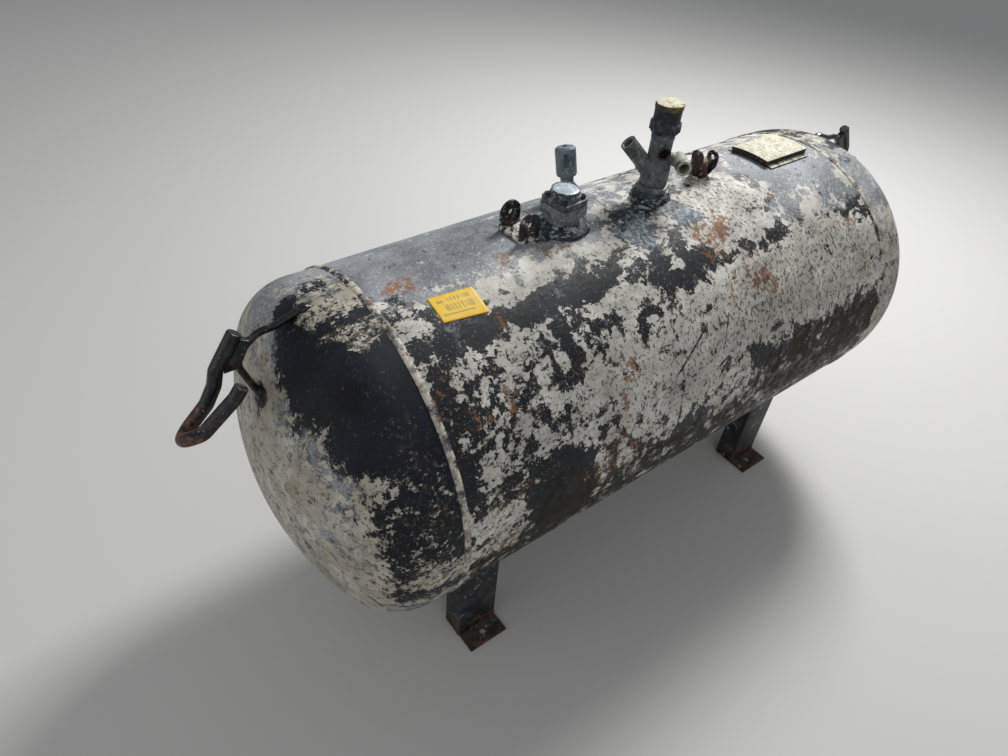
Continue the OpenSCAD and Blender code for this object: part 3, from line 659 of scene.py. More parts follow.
@dataclass(frozen=True)
class Maker:
    """Turns bmesh shapes into finished pieces that ride on the tank."""

    slot: str
    finish: Finish | DecalSheet

    def keep(self, shape: Shape, name: str, nodes: Iterable[str] = (), sharp: float = 38) -> bpy.types.Object:
        """Makes a piece of a shape.

        Args:
            shape: The finished shape, in metres in the model's frame. It is freed here.
            name: The piece's name.
            nodes: CAD nodes that the piece stands for.
            sharp: Angle between faces, in degrees, above which an edge stays crisp.

        Returns:
            The piece's object.
        """
        mesh = bpy.data.meshes.new(name)
        shape.to_mesh(mesh)
        shape.free()
        mesh.shade_smooth()
        mesh.set_sharp_from_angle(angle=math.radians(sharp))
        piece = added(name, mesh)
        mesh.materials.append(self.finish.material())
        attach(piece, "root")
        if nodes:
            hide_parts(*nodes)
        LOG.info("%s: %d faces", name, len(mesh.polygons))
        return piece

    def soften(self, node: str, width: float = 1.0) -> bpy.types.Object:
        """Rounds a CAD node's sharp edges and keeps it as a piece."""
        return self.keep(rounded(merged(node), width), node + "_skin", (node,))

    def cast(self, node: str, name: str, grain: float, rounds: int, *extra: Shape, sharp: float = 60) -> None:
        """Melts a CAD node into one smooth skin and keeps it as a piece.

        Args:
            node: The CAD node.
            name: The piece's name.
            grain: Size of the skin's faces.
            rounds: How many times it is smoothed.
            *extra: Other shapes to melt into it.
            sharp: Angle between faces, in degrees, above which an edge stays crisp.
        """
        self.keep(melted(together(merged(node), *extra), grain, rounds), name, (node,), sharp)


def shift(x: float = 0.0, y: float = 0.0, z: float = 0.0) -> Matrix:
    """Gives a move by millimetres."""
    return Matrix.Translation((x * MM, y * MM, z * MM))


def spun(degrees: float, axis: str = "Z") -> Matrix:
    """Gives a turn about an axis through the origin."""
    return Matrix.Rotation(math.radians(degrees), 4, axis)


def moved(shape: Shape, *steps: Matrix) -> Shape:
    """Moves a shape and hands it back.

    Args:
        shape: The shape, which is changed.
        *steps: Moves and turns, of which the last one is done first.

    Returns:
        The same shape.
    """
    whole = Matrix.Identity(4)
    for step in steps:
        whole = whole @ step
    bmesh.ops.transform(shape, matrix=whole, verts=shape.verts)
    return shape


def merged(node: str) -> Shape:
    """Copies a CAD node and joins its loose triangles."""
    shape = bmesh.new()
    shape.from_mesh(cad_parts[node].data)
    bmesh.ops.remove_doubles(shape, verts=shape.verts, dist=0.01 * MM)
    return shape


def rounded(shape: Shape, width: float) -> Shape:
    """Rounds a shape's sharp edges.

    Args:
        shape: The shape, which is changed.
        width: Width of the rounding.

    Returns:
        The same shape.
    """
    flat, corner = math.radians(0.8), math.radians(28)
    bmesh.ops.dissolve_limit(shape, angle_limit=flat, verts=shape.verts, edges=shape.edges)
    edges = [e for e in shape.edges if len(e.link_faces) == 2 and e.calc_face_angle() > corner]
    bmesh.ops.bevel(shape, geom=edges, offset=width * MM, offset_type="OFFSET", segments=3, profile=0.5,
                    affect="EDGES", clamp_overlap=True, material=-1)
    return shape


def melted(shape: Shape, grain: float, rounds: int) -> Shape:
    """Melts overlapping closed forms into one skin and smooths its corners, as casting or welding does.

    Args:
        shape: The forms, which are freed.
        grain: Size of the skin's faces.
        rounds: How many times it is smoothed.

    Returns:
        The melted shape.
    """
    mesh = bpy.data.meshes.new("melt")
    shape.to_mesh(mesh)
    shape.free()
    carrier = added("melt", mesh)
    remesh = carrier.modifiers.new("melt", "REMESH")
    remesh.mode = "VOXEL"
    remesh.voxel_size = grain * MM
    skin = bpy.data.meshes.new_from_object(carrier.evaluated_get(bpy.context.evaluated_depsgraph_get()))
    made = bmesh.new()
    made.from_mesh(skin)
    for _ in range(rounds):
        bmesh.ops.smooth_vert(made, verts=made.verts, factor=0.5, use_axis_x=True, use_axis_y=True,
                              use_axis_z=True)
    bpy.data.objects.remove(carrier)
    bpy.data.meshes.remove(mesh)
    bpy.data.meshes.remove(skin)
    return made


def turned(profile: Sequence[tuple[float, float]], steps: int, closed: bool = True) -> Shape:
    """Turns a profile about the Z axis, as on a lathe.

    Args:
        profile: Radius and height of each corner.
        steps: Facets in the full turn.
        closed: Whether the last corner joins the first. An open profile starts and ends on the axis.

    Returns:
        The turned shape, standing on the origin.
    """
    shape = bmesh.new()
    corners = [shape.verts.new((r * MM, 0, z * MM)) for r, z in profile]
    pairs = list(zip(corners, corners[1:])) + ([(corners[-1], corners[0])] if closed else [])
    edges = [shape.edges.new(pair) for pair in pairs]
    bmesh.ops.spin(shape, geom=corners + edges, cent=(0, 0, 0), axis=(0, 0, 1), dvec=(0, 0, 0),
                   angle=2 * math.pi, steps=steps, use_merge=True, use_duplicate=False)
    bmesh.ops.remove_doubles(shape, verts=shape.verts, dist=0.005 * MM)
    bmesh.ops.recalc_face_normals(shape, faces=shape.faces)
    return shape


def bead_along(path: Sequence[Triple], radius: float, seed: float) -> Shape:
    """Lays a lumpy weld bead along a path by extruding a ring from point to point.

    Args:
        path: Corners of the path.
        radius: The bead's mean radius.
        seed: Moves the lumps.

    Returns:
        The bead, closed at both ends.
    """
    step, tip, taper = 1.6, 0.4, 0.3
    ripple_depth, lump_depth = 0.16, 0.28
    points = [Vector(path[0])]
    for corner in path[1:]:
        start, end = points[-1].copy(), Vector(corner)
        count = max(1, round((end - start).length / step))
        points += [start.lerp(end, i / count) for i in range(1, count + 1)]
    shape = bmesh.new()
    forward = (points[1] - points[0]).normalized()
    pose = shift(*points[0]) @ forward.to_track_quat("Z", "Y").to_matrix().to_4x4()
    ring = bmesh.ops.create_circle(shape, segments=12, radius=radius * tip * MM, matrix=pose)["verts"]
    edges = list({e for v in ring for e in v.link_edges})
    last, thick = points[0], tip
    for i, point in enumerate(points[1:], 1):
        new = bmesh.ops.extrude_edge_only(shape, edges=edges)["geom"]
        ring = [g for g in new if isinstance(g, bmesh.types.BMVert)]
        edges = [g for g in new if isinstance(g, bmesh.types.BMEdge) and all(v in ring for v in g.verts)]
        lumps = lump_depth * noise.noise(point * 0.09 + Vector((seed, 0, 0)))
        grown = 1 + ripple_depth * math.sin(i * step * 1.3) + lumps
        grown *= min(1.0, tip + taper * min(i, len(points) - 1 - i))
        move = shift(*point) @ Matrix.Scale(grown / thick, 4) @ shift(*-last)
        bmesh.ops.transform(shape, matrix=move, verts=ring)
        last, thick = point, grown
    bmesh.ops.holes_fill(shape, edges=shape.edges, sides=0)
    bmesh.ops.recalc_face_normals(shape, faces=shape.faces)
    return shape


def lump(at: Triple, size: Triple, seed: float) -> Shape:
    """Makes a blob of weld metal.

    Args:
        at: Its middle.
        size: Its three half sizes.
        seed: Changes its form.

    Returns:
        The blob.
    """
    shape = bmesh.new()
    bmesh.ops.create_icosphere(shape, subdivisions=4, radius=1)
    for vert in shape.verts:
        vert.co *= 1 + 0.22 * noise.noise(vert.co * 1.6 + Vector((seed, seed, 0)))
        vert.co = Vector([(a + s * c) * MM for a, s, c in zip(at, size, vert.co)])
    return shape


def together(*shapes: Shape) -> Shape:
    """Puts several shapes into the first one and frees the rest."""
    for other in shapes[1:]:
        carrier = bpy.data.meshes.new("carrier")
        other.to_mesh(carrier)
        other.free()
        shapes[0].from_mesh(carrier)
        bpy.data.meshes.remove(carrier)
    return shapes[0]


Patches = dict[Zone, tuple[tuple[float, float, float, float, float], ...]]

# Patches on the barrel: millimetres along it, degrees round it from the top (the front is
# negative), half length, half height in degrees, pull. Cream counts in spreads of the noise, the others from
# 0 to 1.
BARREL_PATCHES: Patches = {
    Zone.CREAM: (
        (0, -50, 900, 28, 0.3), (-340, 14, 280, 27, -2.4), (-300, -14, 140, 6, 1.5),
        (-300, -26, 150, 4.5, -2.6), (-490, -26, 95, 5, -1.4), (-20, -30, 80, 8, -1.2),
        (40, -33, 32, 7, -1.4), (-35, -36, 48, 4, -1.4), (-55, -21, 50, 3, 1.0), (-160, -34, 62, 4, 1.2),
        (-245, -40, 50, 7, -1.1), (-125, -45, 30, 5, -1.8), (-298, -38, 13, 9, -1.6),
        (-540, -48, 34, 17, -1.8), (-480, -50, 60, 18, -0.3), (-545, -66, 40, 7, -1.6),
        (-410, -80, 36, 14, -1.4), (-355, -86, 62, 16, -2.6), (-490, -86, 60, 11, 0.9),
        (-60, -57, 240, 14, 1.2), (-330, -57, 100, 12, 0.1), (170, -16, 130, 14, 1.5),
        (330, -53, 270, 16, 1.9), (430, -6, 150, 19, -1.6), (305, -25, 52, 5, -1.4),
        (490, -30, 46, 9, -1.3), (395, -29, 46, 7, 0.6), (235, -37, 38, 5, -1.8), (103, -36, 13, 3, -2.6),
        (150, -77, 40, 6, -1.4), (240, -76, 44, 5, -1.5), (340, -83, 110, 8, -1.0),
        (490, -84, 110, 11, -1.4), (-50, -88, 50, 7, -2.0), (-60, -80, 170, 9, 0.6),
        (0, -112, 900, 16, -0.9), (0, -150, 900, 30, -1.0), (105, -26, 50, 8, 1.3), (-165, -5, 56, 5, -1.8),
        (200, 12, 130, 12, 0.2), (200, -4, 60, 8, 0.5)),
    # Chalked coat, which on the barrel's top is partly a painted sheen of glare.
    Zone.CHALK_AND_SHEEN: (
        (-350, 15, 290, 30, 1.0), (-60, 18, 170, 20, 0.9), (450, 0, 170, 30, 1.0), (240, 14, 150, 14, 0.8),
        (-250, -11, 250, 5, 0.6), (410, -26, 170, 8, 0.7)),
    Zone.RUST: (
        (-490, -3, 36, 6, 1.15), (-310, -7, 20, 3, 1.0), (-232, -9, 15, 4, 0.8), (-205, -12, 18, 3, 0.8),
        (-465, -12, 12, 2, 0.7), (-380, -25, 9, 6, 0.8), (-375, 3, 14, 5, 0.6), (92, -27, 46, 9, 0.95),
        (140, -23, 24, 8, 0.75), (60, -9, 16, 3, 0.6), (175, -48, 42, 4, 0.7), (210, -52, 16, 3, 0.8),
        (310, -17, 15, 3, 0.7), (460, -40, 32, 4, 0.8), (-430, -48, 20, 6, 0.8), (-470, -76, 50, 7, 0.65),
        (-250, -84, 70, 11, 0.6), (-200, -57, 14, 4, 0.8), (-212, -65, 12, 5, 0.7), (-130, -19, 20, 2, 0.8),
        (240, -58, 25, 4, 0.6), (490, -58, 15, 6, 0.7), (-480, -96, 50, 8, 0.8), (75, -45, 10, 4, 0.7),
        (150, -44, 60, 7, 0.45), (-520, -44, 40, 12, 0.4), (0, -60, 900, 30, 0.14), (200, -10, 160, 12, 0.2)),
    Zone.DARKENING: (
        (0, -116, 900, 28, 0.8), (380, -84, 260, 14, 1.2), (-355, -90, 60, 16, 0.8),
        (-100, -98, 200, 10, 0.3), (0, -170, 900, 45, 0.6)),
    # Painted shadow cast by the valve and gauge, with dark old paint round their feet.
    Zone.STAIN_AND_SHADOW: (
        (-48, -14, 47, 8, 1.3), (73, -14, 42, 7.5, 1.3), (15, -5, 62, 4, 0.9), (-160, -1, 66, 5.5, 0.8),
        (-225, -5, 26, 2, 0.6)),
}

# The same on a head, seen from its end: millimetres across from the axis (the front is negative), height
# above the axis, half width, half height, pull.
HEAD_PATCHES: Patches = {
    Zone.CREAM: (
        (0, 0, 400, 400, 0.8), (-105, 262, 112, 48, -3.8), (-210, 222, 62, 42, -3.0),
        (-258, 140, 26, 50, -1.7), (-288, 50, 15, 62, -1.9), (-130, 175, 90, 40, -1.3),
        (-60, 90, 110, 80, 0.9), (50, 190, 70, 50, 0.7), (-215, -70, 60, 70, 0.6),
        (-190, 110, 12, 15, -2.6), (-170, 25, 16, 12, -2.4), (-240, -90, 16, 11, -2.4),
        (-262, -120, 20, 26, -2.4), (-288, -60, 16, 34, -2.4), (15, 168, 20, 26, -4.5),
        (30, 285, 15, 17, -3.5), (120, 262, 150, 50, -2.0), (-73, 291, 24, 12, 4.2),
        (0, -230, 260, 60, -0.8)),
    Zone.CHALK_AND_SHEEN: (
        (30, -20, 330, 300, 0.75), (130, 250, 160, 80, 0.5), (-105, 262, 125, 60, -0.9),
        (-210, 222, 75, 55, -0.9), (-262, 140, 32, 60, -0.8), (-288, 40, 24, 90, -0.8),
        (18, 168, 24, 32, -1.0), (30, 285, 22, 20, -1.0)),
    Zone.RUST: ((60, 215, 52, 20, 0.55), (-250, -140, 30, 30, 0.55), (20, 150, 60, 60, 0.25)),
    Zone.DARKENING: ((-30, 62, 24, 8, 1.0), (0, -250, 280, 90, 0.6), (20, 168, 14, 20, 0.7)),
}


@dataclass
class Shell:
    """Barrel, dished heads and the ripples of the two girth welds.

    The plate is rebuilt finer than the solids, so that it can be a touch uneven, as rolled plate is, and so
    that its points can carry where each coat has lasted. dents are the waves in a metre of its two kinds of
    dent, wander is how far and how finely patches of paint are led astray, and patch_rim is where their edge
    begins and ends, in shares of their half size.
    """

    wall: float = 5.0
    crown_radius: float = 515.0
    knuckle_radius: float = 104.0
    flange: float = 45.0
    around: int = 256
    cell: float = 8.0
    inner_cell: float = 40.0
    unevenness: float = 0.5
    dents: tuple[float, float] = (6.5, 15.0)
    bead_width: float = 12.4
    bead_height: float = 2.5
    bead_root: float = -1.5
    bead_steps: int = 1280
    ripple_pitch: float = 5.2
    ripple_sweep: float = 0.25
    ripple_depth: float = 0.35
    lump_depth: float = 0.5
    sway: float = 0.9
    back_angle: float = 34.0
    wander: tuple[tuple[float, float], ...] = ((22.0, 0.016), (8.0, 0.06))
    patch_rim: tuple[float, float] = (0.7, 1.3)

    def build(self) -> None:
        """Builds the barrel, the heads and the welds."""
        paint = Maker("shell_paint", shell_paint(Plate.BARREL))
        piece = paint.keep(self.plate(self.barrel_profile()), "barrel_plate", ("barrel",))
        self.paint(piece, BARREL_PATCHES, True)
        paint = Maker("head_paint", shell_paint(Plate.HEAD))
        for side, name in ((-1, "head_left"), (1, "head_right")):
            piece = paint.keep(self.plate(self.head_profile(side)), name + "_plate", (name,))
            self.paint(piece, HEAD_PATCHES, False)
        weld = Maker("weld_paint", WELD_PAINT)
        for side, name in ((-1, "seam_weld_left"), (1, "seam_weld_right")):
            weld.keep(self.seam(side * SEAM), name + "_ripples", (name,), sharp=60)

    def barrel_profile(self) -> list[tuple[float, float]]:
        """Gives the wall's section as places along X and distances from the axis."""
        count = round(2 * SEAM / self.cell)
        outer = [(SEAM * (2 * i / count - 1), RADIUS) for i in range(count + 1)]
        return outer + [(SEAM, RADIUS - self.wall), (-SEAM, RADIUS - self.wall)]

    def head_profile(self, side: int) -> list[tuple[float, float]]:
        """Gives a head's section from the outer pole round the rim to the inner pole.

        Args:
            side: -1 for the left head, 1 for the right one.

        Returns:
            Places along X and distances from the axis.
        """
        base = SEAM + self.flange
        rise = RADIUS - self.knuckle_radius
        drop = math.sqrt((self.crown_radius - self.knuckle_radius) ** 2 - rise ** 2)
        meet = math.atan2(rise, drop)

        def skin(inset: float, cell: float) -> list[tuple[float, float]]:
            """Follows crown, knuckle and flange at an inset from the outside."""
            crown, knuckle = self.crown_radius - inset, self.knuckle_radius - inset
            arcs = round(crown * meet / cell), round(knuckle * (math.pi / 2 - meet) / cell)
            way = [(base - drop + crown * math.cos(meet * i / arcs[0]), crown * math.sin(meet * i / arcs[0]))
                   for i in range(arcs[0] + 1)]
            for i in range(1, arcs[1] + 1):
                turn = meet + (math.pi / 2 - meet) * i / arcs[1]
                way.append((base + knuckle * math.cos(turn), rise + knuckle * math.sin(turn)))
            steps = max(1, round(self.flange / cell))
            return way + [(base - self.flange * i / steps, RADIUS - inset) for i in range(1, steps + 1)]

        outer, inner = skin(0, self.cell), skin(self.wall, self.inner_cell)
        return [(side * x, max(r, 0.0)) for x, r in outer + inner[::-1]]

    def plate(self, profile: list[tuple[float, float]]) -> Shape:
        """Turns a section about the tank's axis and makes its outside a touch uneven.

        Args:
            profile: Places along X and distances from the axis.

        Returns:
            The plate.
        """
        closed = min(r for _, r in profile) > 1
        shape = moved(turned([(r, x) for x, r in profile], self.around, closed), shift(z=AXIS), spun(90, "Y"))
        for vert in shape.verts:
            out = Vector((0, vert.co.y, vert.co.z - AXIS * MM))
            if out.length > (RADIUS - self.wall / 2) * MM or abs(vert.co.x) > (SEAM + self.flange) * MM:
                dent = noise.noise(vert.co * self.dents[0]) + 0.5 * noise.noise(vert.co * self.dents[1])
                vert.co += out * (dent - 0.4) * self.unevenness / RADIUS
        bmesh.ops.recalc_face_normals(shape, faces=shape.faces)
        return shape

    def seam(self, at: float) -> Shape:
        """Makes one girth weld with the ripples that each run of the welder leaves.

        Args:
            at: Place along X.

        Returns:
            The bead.
        """
        half, high, root = self.bead_width / 2, self.bead_height, self.bead_root
        section = [(-half, root), (-half, 0.0), (-half * 0.6, high * 0.75), (0, high),
                   (half * 0.6, high * 0.75), (half, 0.0), (half, root)]
        shape = moved(turned([(RADIUS + h, x) for x, h in section], self.bead_steps), shift(at, 0, AXIS),
                      spun(90, "Y"))
        for vert in shape.verts:
            out = Vector((0, vert.co.y, vert.co.z - AXIS * MM))
            above = out.length / MM - RADIUS
            if above > -1:
                way = math.atan2(out.y, out.z) * RADIUS
                sweep = abs(vert.co.x / MM - at) * self.ripple_sweep
                ripple = self.ripple_depth * (abs(math.sin(way * math.pi / self.ripple_pitch + sweep)) - 0.6)
                lumps = self.lump_depth * noise.noise(vert.co * 60)
                vert.co += out.normalized() * (ripple + lumps - 0.3) * min(1, above + 0.3) * MM
                vert.co.x += self.sway * noise.noise(Vector((way * 0.045, at, 0))) * MM
        return shape

    def paint(self, piece: bpy.types.Object, patches: Patches, rolled: bool) -> None:
        """Writes on a plate's points how much of each coat has lasted there.

        The back takes the front's patches turned half round the tank, so that both sides have aged alike.

        Args:
            piece: The plate.
            patches: Patches of each zone.
            rolled: Whether the patches lie round the barrel or across a head.
        """
        points = np.empty(len(piece.data.vertices) * 3)
        piece.data.vertices.foreach_get("co", points)
        points = points.reshape(-1, 3) / MM

        def astray(*seeds: float) -> np.ndarray:
            """Adds up how far each point's patches wander, from a seed for each size of noise."""
            return np.array([sum(far * noise.noise(Vector(p) * fine + Vector((seed, 0, 0)))
                                 for (far, fine), seed in zip(self.wander, seeds)) for p in points])

        if rolled:
            angle = np.degrees(np.arctan2(points[:, 1], points[:, 2] - AXIS))
            back = angle > self.back_angle
            across = np.where(back, -points[:, 0], points[:, 0])
            down, scale = np.where(back, -angle, angle), math.pi * RADIUS / 180
        else:
            side = np.where(points[:, 0] < 0, 1, -1)
            across, down, scale = points[:, 1] * side, points[:, 2] - AXIS, 1.0
        across, down = across + astray(0, 0), down * scale + astray(9, 5)
        inside, outside = self.patch_rim
        for zone, spots in patches.items():
            value = np.zeros(len(points))
            for x, y, half_x, half_y, pull in spots:
                away = np.hypot((across - x) / half_x, (down - y * scale) / (half_y * scale))
                fall = np.clip((outside - away) / (outside - inside), 0, 1)
                value += pull * fall * fall * (3 - 2 * fall)
            data = piece.data.attributes.new(zone.value, "FLOAT", "POINT")
            data.data.foreach_set("value", value.astype(np.float32))


@dataclass
class Legs:
    """Channel legs and foot plates, welded to the barrel."""

    inner_y: float = 150.0
    top_bead: float = 5.0
    foot_bead: float = 3.2
    foot_bead_z: float = 6.5

    def build(self) -> None:
        """Builds the legs, feet and welds."""
        paint = Maker("leg_paint", LEG_PAINT)
        for side in ("front_left", "front_right", "back_left", "back_right"):
            paint.soften("leg_" + side, 1.3)
            paint.soften("foot_" + side)
            low, high = (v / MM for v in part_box("leg_" + side))
            outer, sign = max(abs(low.y), abs(high.y)), 1 if high.y > 0 else -1
            corners = ((low.x, self.inner_y), (low.x, outer), (high.x, outer), (high.x, self.inner_y))
            path = [(x, sign * y, AXIS - math.sqrt(RADIUS ** 2 - y ** 2)) for x, y in corners]
            paint.keep(bead_along(path, self.top_bead, low.x), "leg_weld_" + side, sharp=60)
            path = [(x, sign * y, self.foot_bead_z) for x, y in corners]
            paint.keep(bead_along(path, self.foot_bead, low.y), "foot_weld_" + side, sharp=60)


@dataclass
class CouplingWelds:
    """Fillet beads round the feet of the couplings: place along X, radius, thickness and lean of each."""

    rings: tuple[tuple[str, float, float, float, float], ...] = (
        ("gauge", -160, 48.5, 4.2, 0), ("valve", 62, 36.5, 4.2, 0), ("relief", -70, 22.5, 3.4, -16))
    steps: int = 72

    def build(self) -> None:
        """Lays a bead round each coupling."""
        paint = Maker("weld_paint", COUPLING_PAINT)
        for name, at, radius, thick, lean in self.rings:
            path = []
            for i in range(self.steps + 1):
                angle = 2 * math.pi * i / self.steps
                y = radius * math.sin(angle)
                path.append((at + radius * math.cos(angle), y, math.sqrt(RADIUS ** 2 - y ** 2)))
            bead = moved(bead_along(path, thick, at), shift(z=AXIS), spun(lean, "X"))
            paint.keep(bead, name + "_coupling_weld", sharp=60)


@dataclass
class FloatGauge:
    """Square float gauge on its coupling: adapter, head with four screws and a hazed dial."""

    x: float = -160.0
    turn: float = 5.0
    flange: float = 11.0
    screw_radius: float = 30.0
    screw_head: float = 11.0
    slot_half: float = 1.0
    slot_depth: float = 2.0
    dial_size: float = 50.0
    bezel_width: float = 2.4

    def build(self) -> None:
        """Builds the gauge."""
        Maker("coupling_paint", COUPLING_PAINT).soften("gauge_coupling", 1.5)
        Maker("gauge_casting", ZINC_CASTING).soften("gauge_adapter", 1.4)
        Maker("gauge_casting", GAUGE_HEAD_PAINT).soften("gauge_head", 1.2)
        for i in range(4):
            Maker("gauge_casting", SCREW_STEEL).keep(self.screw(45 + 90 * i), f"gauge_screw_{i + 1}")
        low, high = (corner.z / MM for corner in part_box("gauge_dial"))
        Maker("dial_glass", DIAL_LENS).keep(self.lens(low, high - low), "dial_lens", ("gauge_dial",))
        Maker("dial_glass", BEZEL_PLASTIC).keep(self.bezel(low, high - low), "dial_bezel")

    def place(self, shape: Shape, z: float, *steps: Matrix) -> Shape:
        """Moves a shape from the gauge's own axis to its place on the tank."""
        return moved(shape, shift(self.x, 0, z), spun(self.turn), *steps)

    def screw(self, angle: float) -> Shape:
        """Makes a cheese-head screw with its slot.

        Args:
            angle: Where it stands round the dial, in degrees.

        Returns:
            The screw in place.
        """
        r = self.screw_head / 2
        shape = turned([(0, -2), (r, -2), (r, 4.6), (r - 0.5, 5.4), (r - 1.4, 5.8), (0, 5.9)], 32, False)
        for vert in shape.verts:
            if vert.co.z > 4.5 * MM and abs(vert.co.x) < self.slot_half * MM:
                vert.co.z -= self.slot_depth * MM
        turn = math.radians(angle)
        spot = shift(self.screw_radius * math.cos(turn), self.screw_radius * math.sin(turn))
        return self.place(shape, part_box("gauge_head")[0].z / MM + self.flange, spot, spun(angle * 1.7))

    def lens(self, low: float, tall: float) -> Shape:
        """Makes the dial's lens, a low dome on a straight foot, from the dial's foot and height."""
        r = self.dial_size / 2 - self.bezel_width
        dome = [(r * math.cos(a), tall - 1.5 + 1.2 * math.sin(a)) for a in (0.0, 0.35, 0.7, 1.05, 1.35)]
        return self.place(turned([(0, -0.5), (r, -0.5)] + dome + [(0, tall - 0.3)], 96, False), low)

    def bezel(self, low: float, tall: float) -> Shape:
        """Makes the ring that holds the lens, from the dial's foot and height."""
        r, inner = self.dial_size / 2, self.dial_size / 2 - self.bezel_width
        ring = [(inner - 0.2, 0.2), (r + 0.1, 0.2), (r + 0.1, tall - 1.2), (r - 0.7, tall - 0.3),
                (inner + 0.6, tall - 0.1), (inner - 0.2, tall - 0.9)]
        return self.place(turned(ring, 96), low)


@dataclass
class ReliefValve:
    """Relief valve behind the gauge: coupling, hexagonal neck and slotted bonnet."""

    def build(self) -> None:
        """Builds the relief valve."""
        Maker("coupling_paint", COUPLING_PAINT).soften("relief_coupling", 1.2)
        Maker("relief_metal", RELIEF_PAINT).soften("relief_neck")
        Maker("relief_metal", RELIEF_PAINT).soften("relief_bonnet", 1.3)


@dataclass
class ServiceValve:
    """Fill and service valve: branched brass body, threaded outlet, elbow, plastic collar and cap."""

    x: float = 62.0
    turn: float = -32.0
    foot: float = TOP + 25
    bore: float = 19.0
    outlet_root: float = 13.0
    outlet_lean: float = 44.0
    outlet_start: float = 38.0
    outlet_length: float = 89.0
    outlet_pipe: float = 30.0
    thread_length: float = 24.0
    thread_depth: float = 2.0
    thread_pitch: float = 4.2
    port_height: float = 69.0
    port_rim: float = 12.9
    port_length: float = 28.0
    ribs: int = 18
    rib_size: Triple = (3.2, 4.2, 15.0)
    rib_radius: float = 26.6
    rib_z: float = 920.5
    fill_thread: float = 46.0
    fill_thread_pitch: float = 4.3
    fill_thread_low: float = 933.0
    fill_thread_high: float = 951.5

    def build(self) -> None:
        """Builds the valve from its foot up."""
        Maker("coupling_paint", COUPLING_PAINT).soften("valve_coupling", 1.6)
        brass = Maker("valve_metal", VALVE_BRASS)
        brass.soften("valve_collar", 0.9)
        brass.cast("valve_body", "valve_body_casting", 0.8, 3)
        brass.keep(self.outlet(), "service_outlet_nipple", ("service_outlet",))
        brass.soften("fill_neck")
        Maker("valve_metal", PORT_OXIDE).keep(self.port_mouth(), "front_port_mouth")
        Maker("elbow_brass", ELBOW_SCALE).cast("side_elbow", "side_elbow_casting", 0.7, 3)
        Maker("collar_plastic", SLATE_PLASTIC).soften("fill_collar", 0.9)
        Maker("collar_plastic", SLATE_PLASTIC).keep(self.collar_ribs(), "fill_collar_ribs")
        Maker("collar_plastic", THREAD_PLASTIC).keep(self.cap_thread(), "fill_thread_ridges")
        Maker("cap_plastic", CAP_PLASTIC).soften("fill_cap", 1.6)

    def place(self, shape: Shape, height: float, *steps: Matrix) -> Shape:
        """Moves a shape from the body's own axes to a height above the body's foot."""
        return moved(shape, shift(self.x, 0, self.foot + height), spun(self.turn), *steps)

    def outlet(self) -> Shape:
        """Makes the leaning nipple with the ridges of its pipe thread and its open bore."""
        r, bore, end, pitch = self.outlet_pipe / 2, self.bore / 2, self.outlet_length, self.thread_pitch
        root, z = r - self.thread_depth, end - self.thread_length
        profile = [(bore, self.outlet_start), (r, self.outlet_start), (r, z - 1)]
        while z < end - 2.5:
            profile += [(root, z), (root, z + 0.3 * pitch), (r, z + 0.5 * pitch), (r, z + 0.8 * pitch)]
            z += pitch
        profile += [(r - 1.2, end), (bore + 0.8, end), (bore, end - 0.8)]
        return self.place(turned(profile, 64), self.outlet_root, spun(-self.outlet_lean, "Y"))

    def port_mouth(self) -> Shape:
        """Makes the oxidised rim and first stretch of the front port's bore."""
        bore, rim, end = self.bore / 2, self.port_rim, self.port_length
        shape = turned([(bore - 0.1, end - 14), (bore - 0.1, end - 0.4), (bore + 0.8, end + 0.3),
                        (rim - 0.7, end + 0.3), (rim, end - 0.5), (rim - 0.6, end - 1.0),
                        (bore + 0.3, end - 1.2)], 56)
        return self.place(shape, self.port_height, spun(90, "X"))

    def collar_ribs(self) -> Shape:
        """Makes the upright ribs that a hand grips on the plastic collar."""
        shape = bmesh.new()
        size = Matrix.Diagonal((*(s * MM for s in self.rib_size), 1))
        bmesh.ops.create_cube(shape, size=1, matrix=shift(self.rib_radius, 0, self.rib_z) @ size)
        bmesh.ops.bevel(shape, geom=shape.edges[:], offset=1.1 * MM, offset_type="OFFSET", segments=3,
                        profile=0.5, affect="EDGES", material=-1)
        copies = self.ribs - 1
        bmesh.ops.spin(shape, geom=shape.verts[:] + shape.edges[:] + shape.faces[:], cent=(0, 0, 0),
                       axis=(0, 0, 1), dvec=(0, 0, 0), angle=2 * math.pi * copies / self.ribs, steps=copies,
                       use_duplicate=True)
        return moved(shape, shift(self.x))

    def cap_thread(self) -> Shape:
        """Makes the coarse ridges below the cap."""
        r, z, high = self.fill_thread / 2, self.fill_thread_low, self.fill_thread_high
        profile = [(r - 1, z)]
        while z + self.fill_thread_pitch < high:
            profile += [(r + 0.1, z + 0.5), (r + 1.5, z + 1.3), (r + 1.5, z + 2.3), (r + 0.1, z + 3.1)]
            z += self.fill_thread_pitch
        return moved(turned(profile + [(r + 0.1, high), (r - 1, high)], 72), shift(self.x))


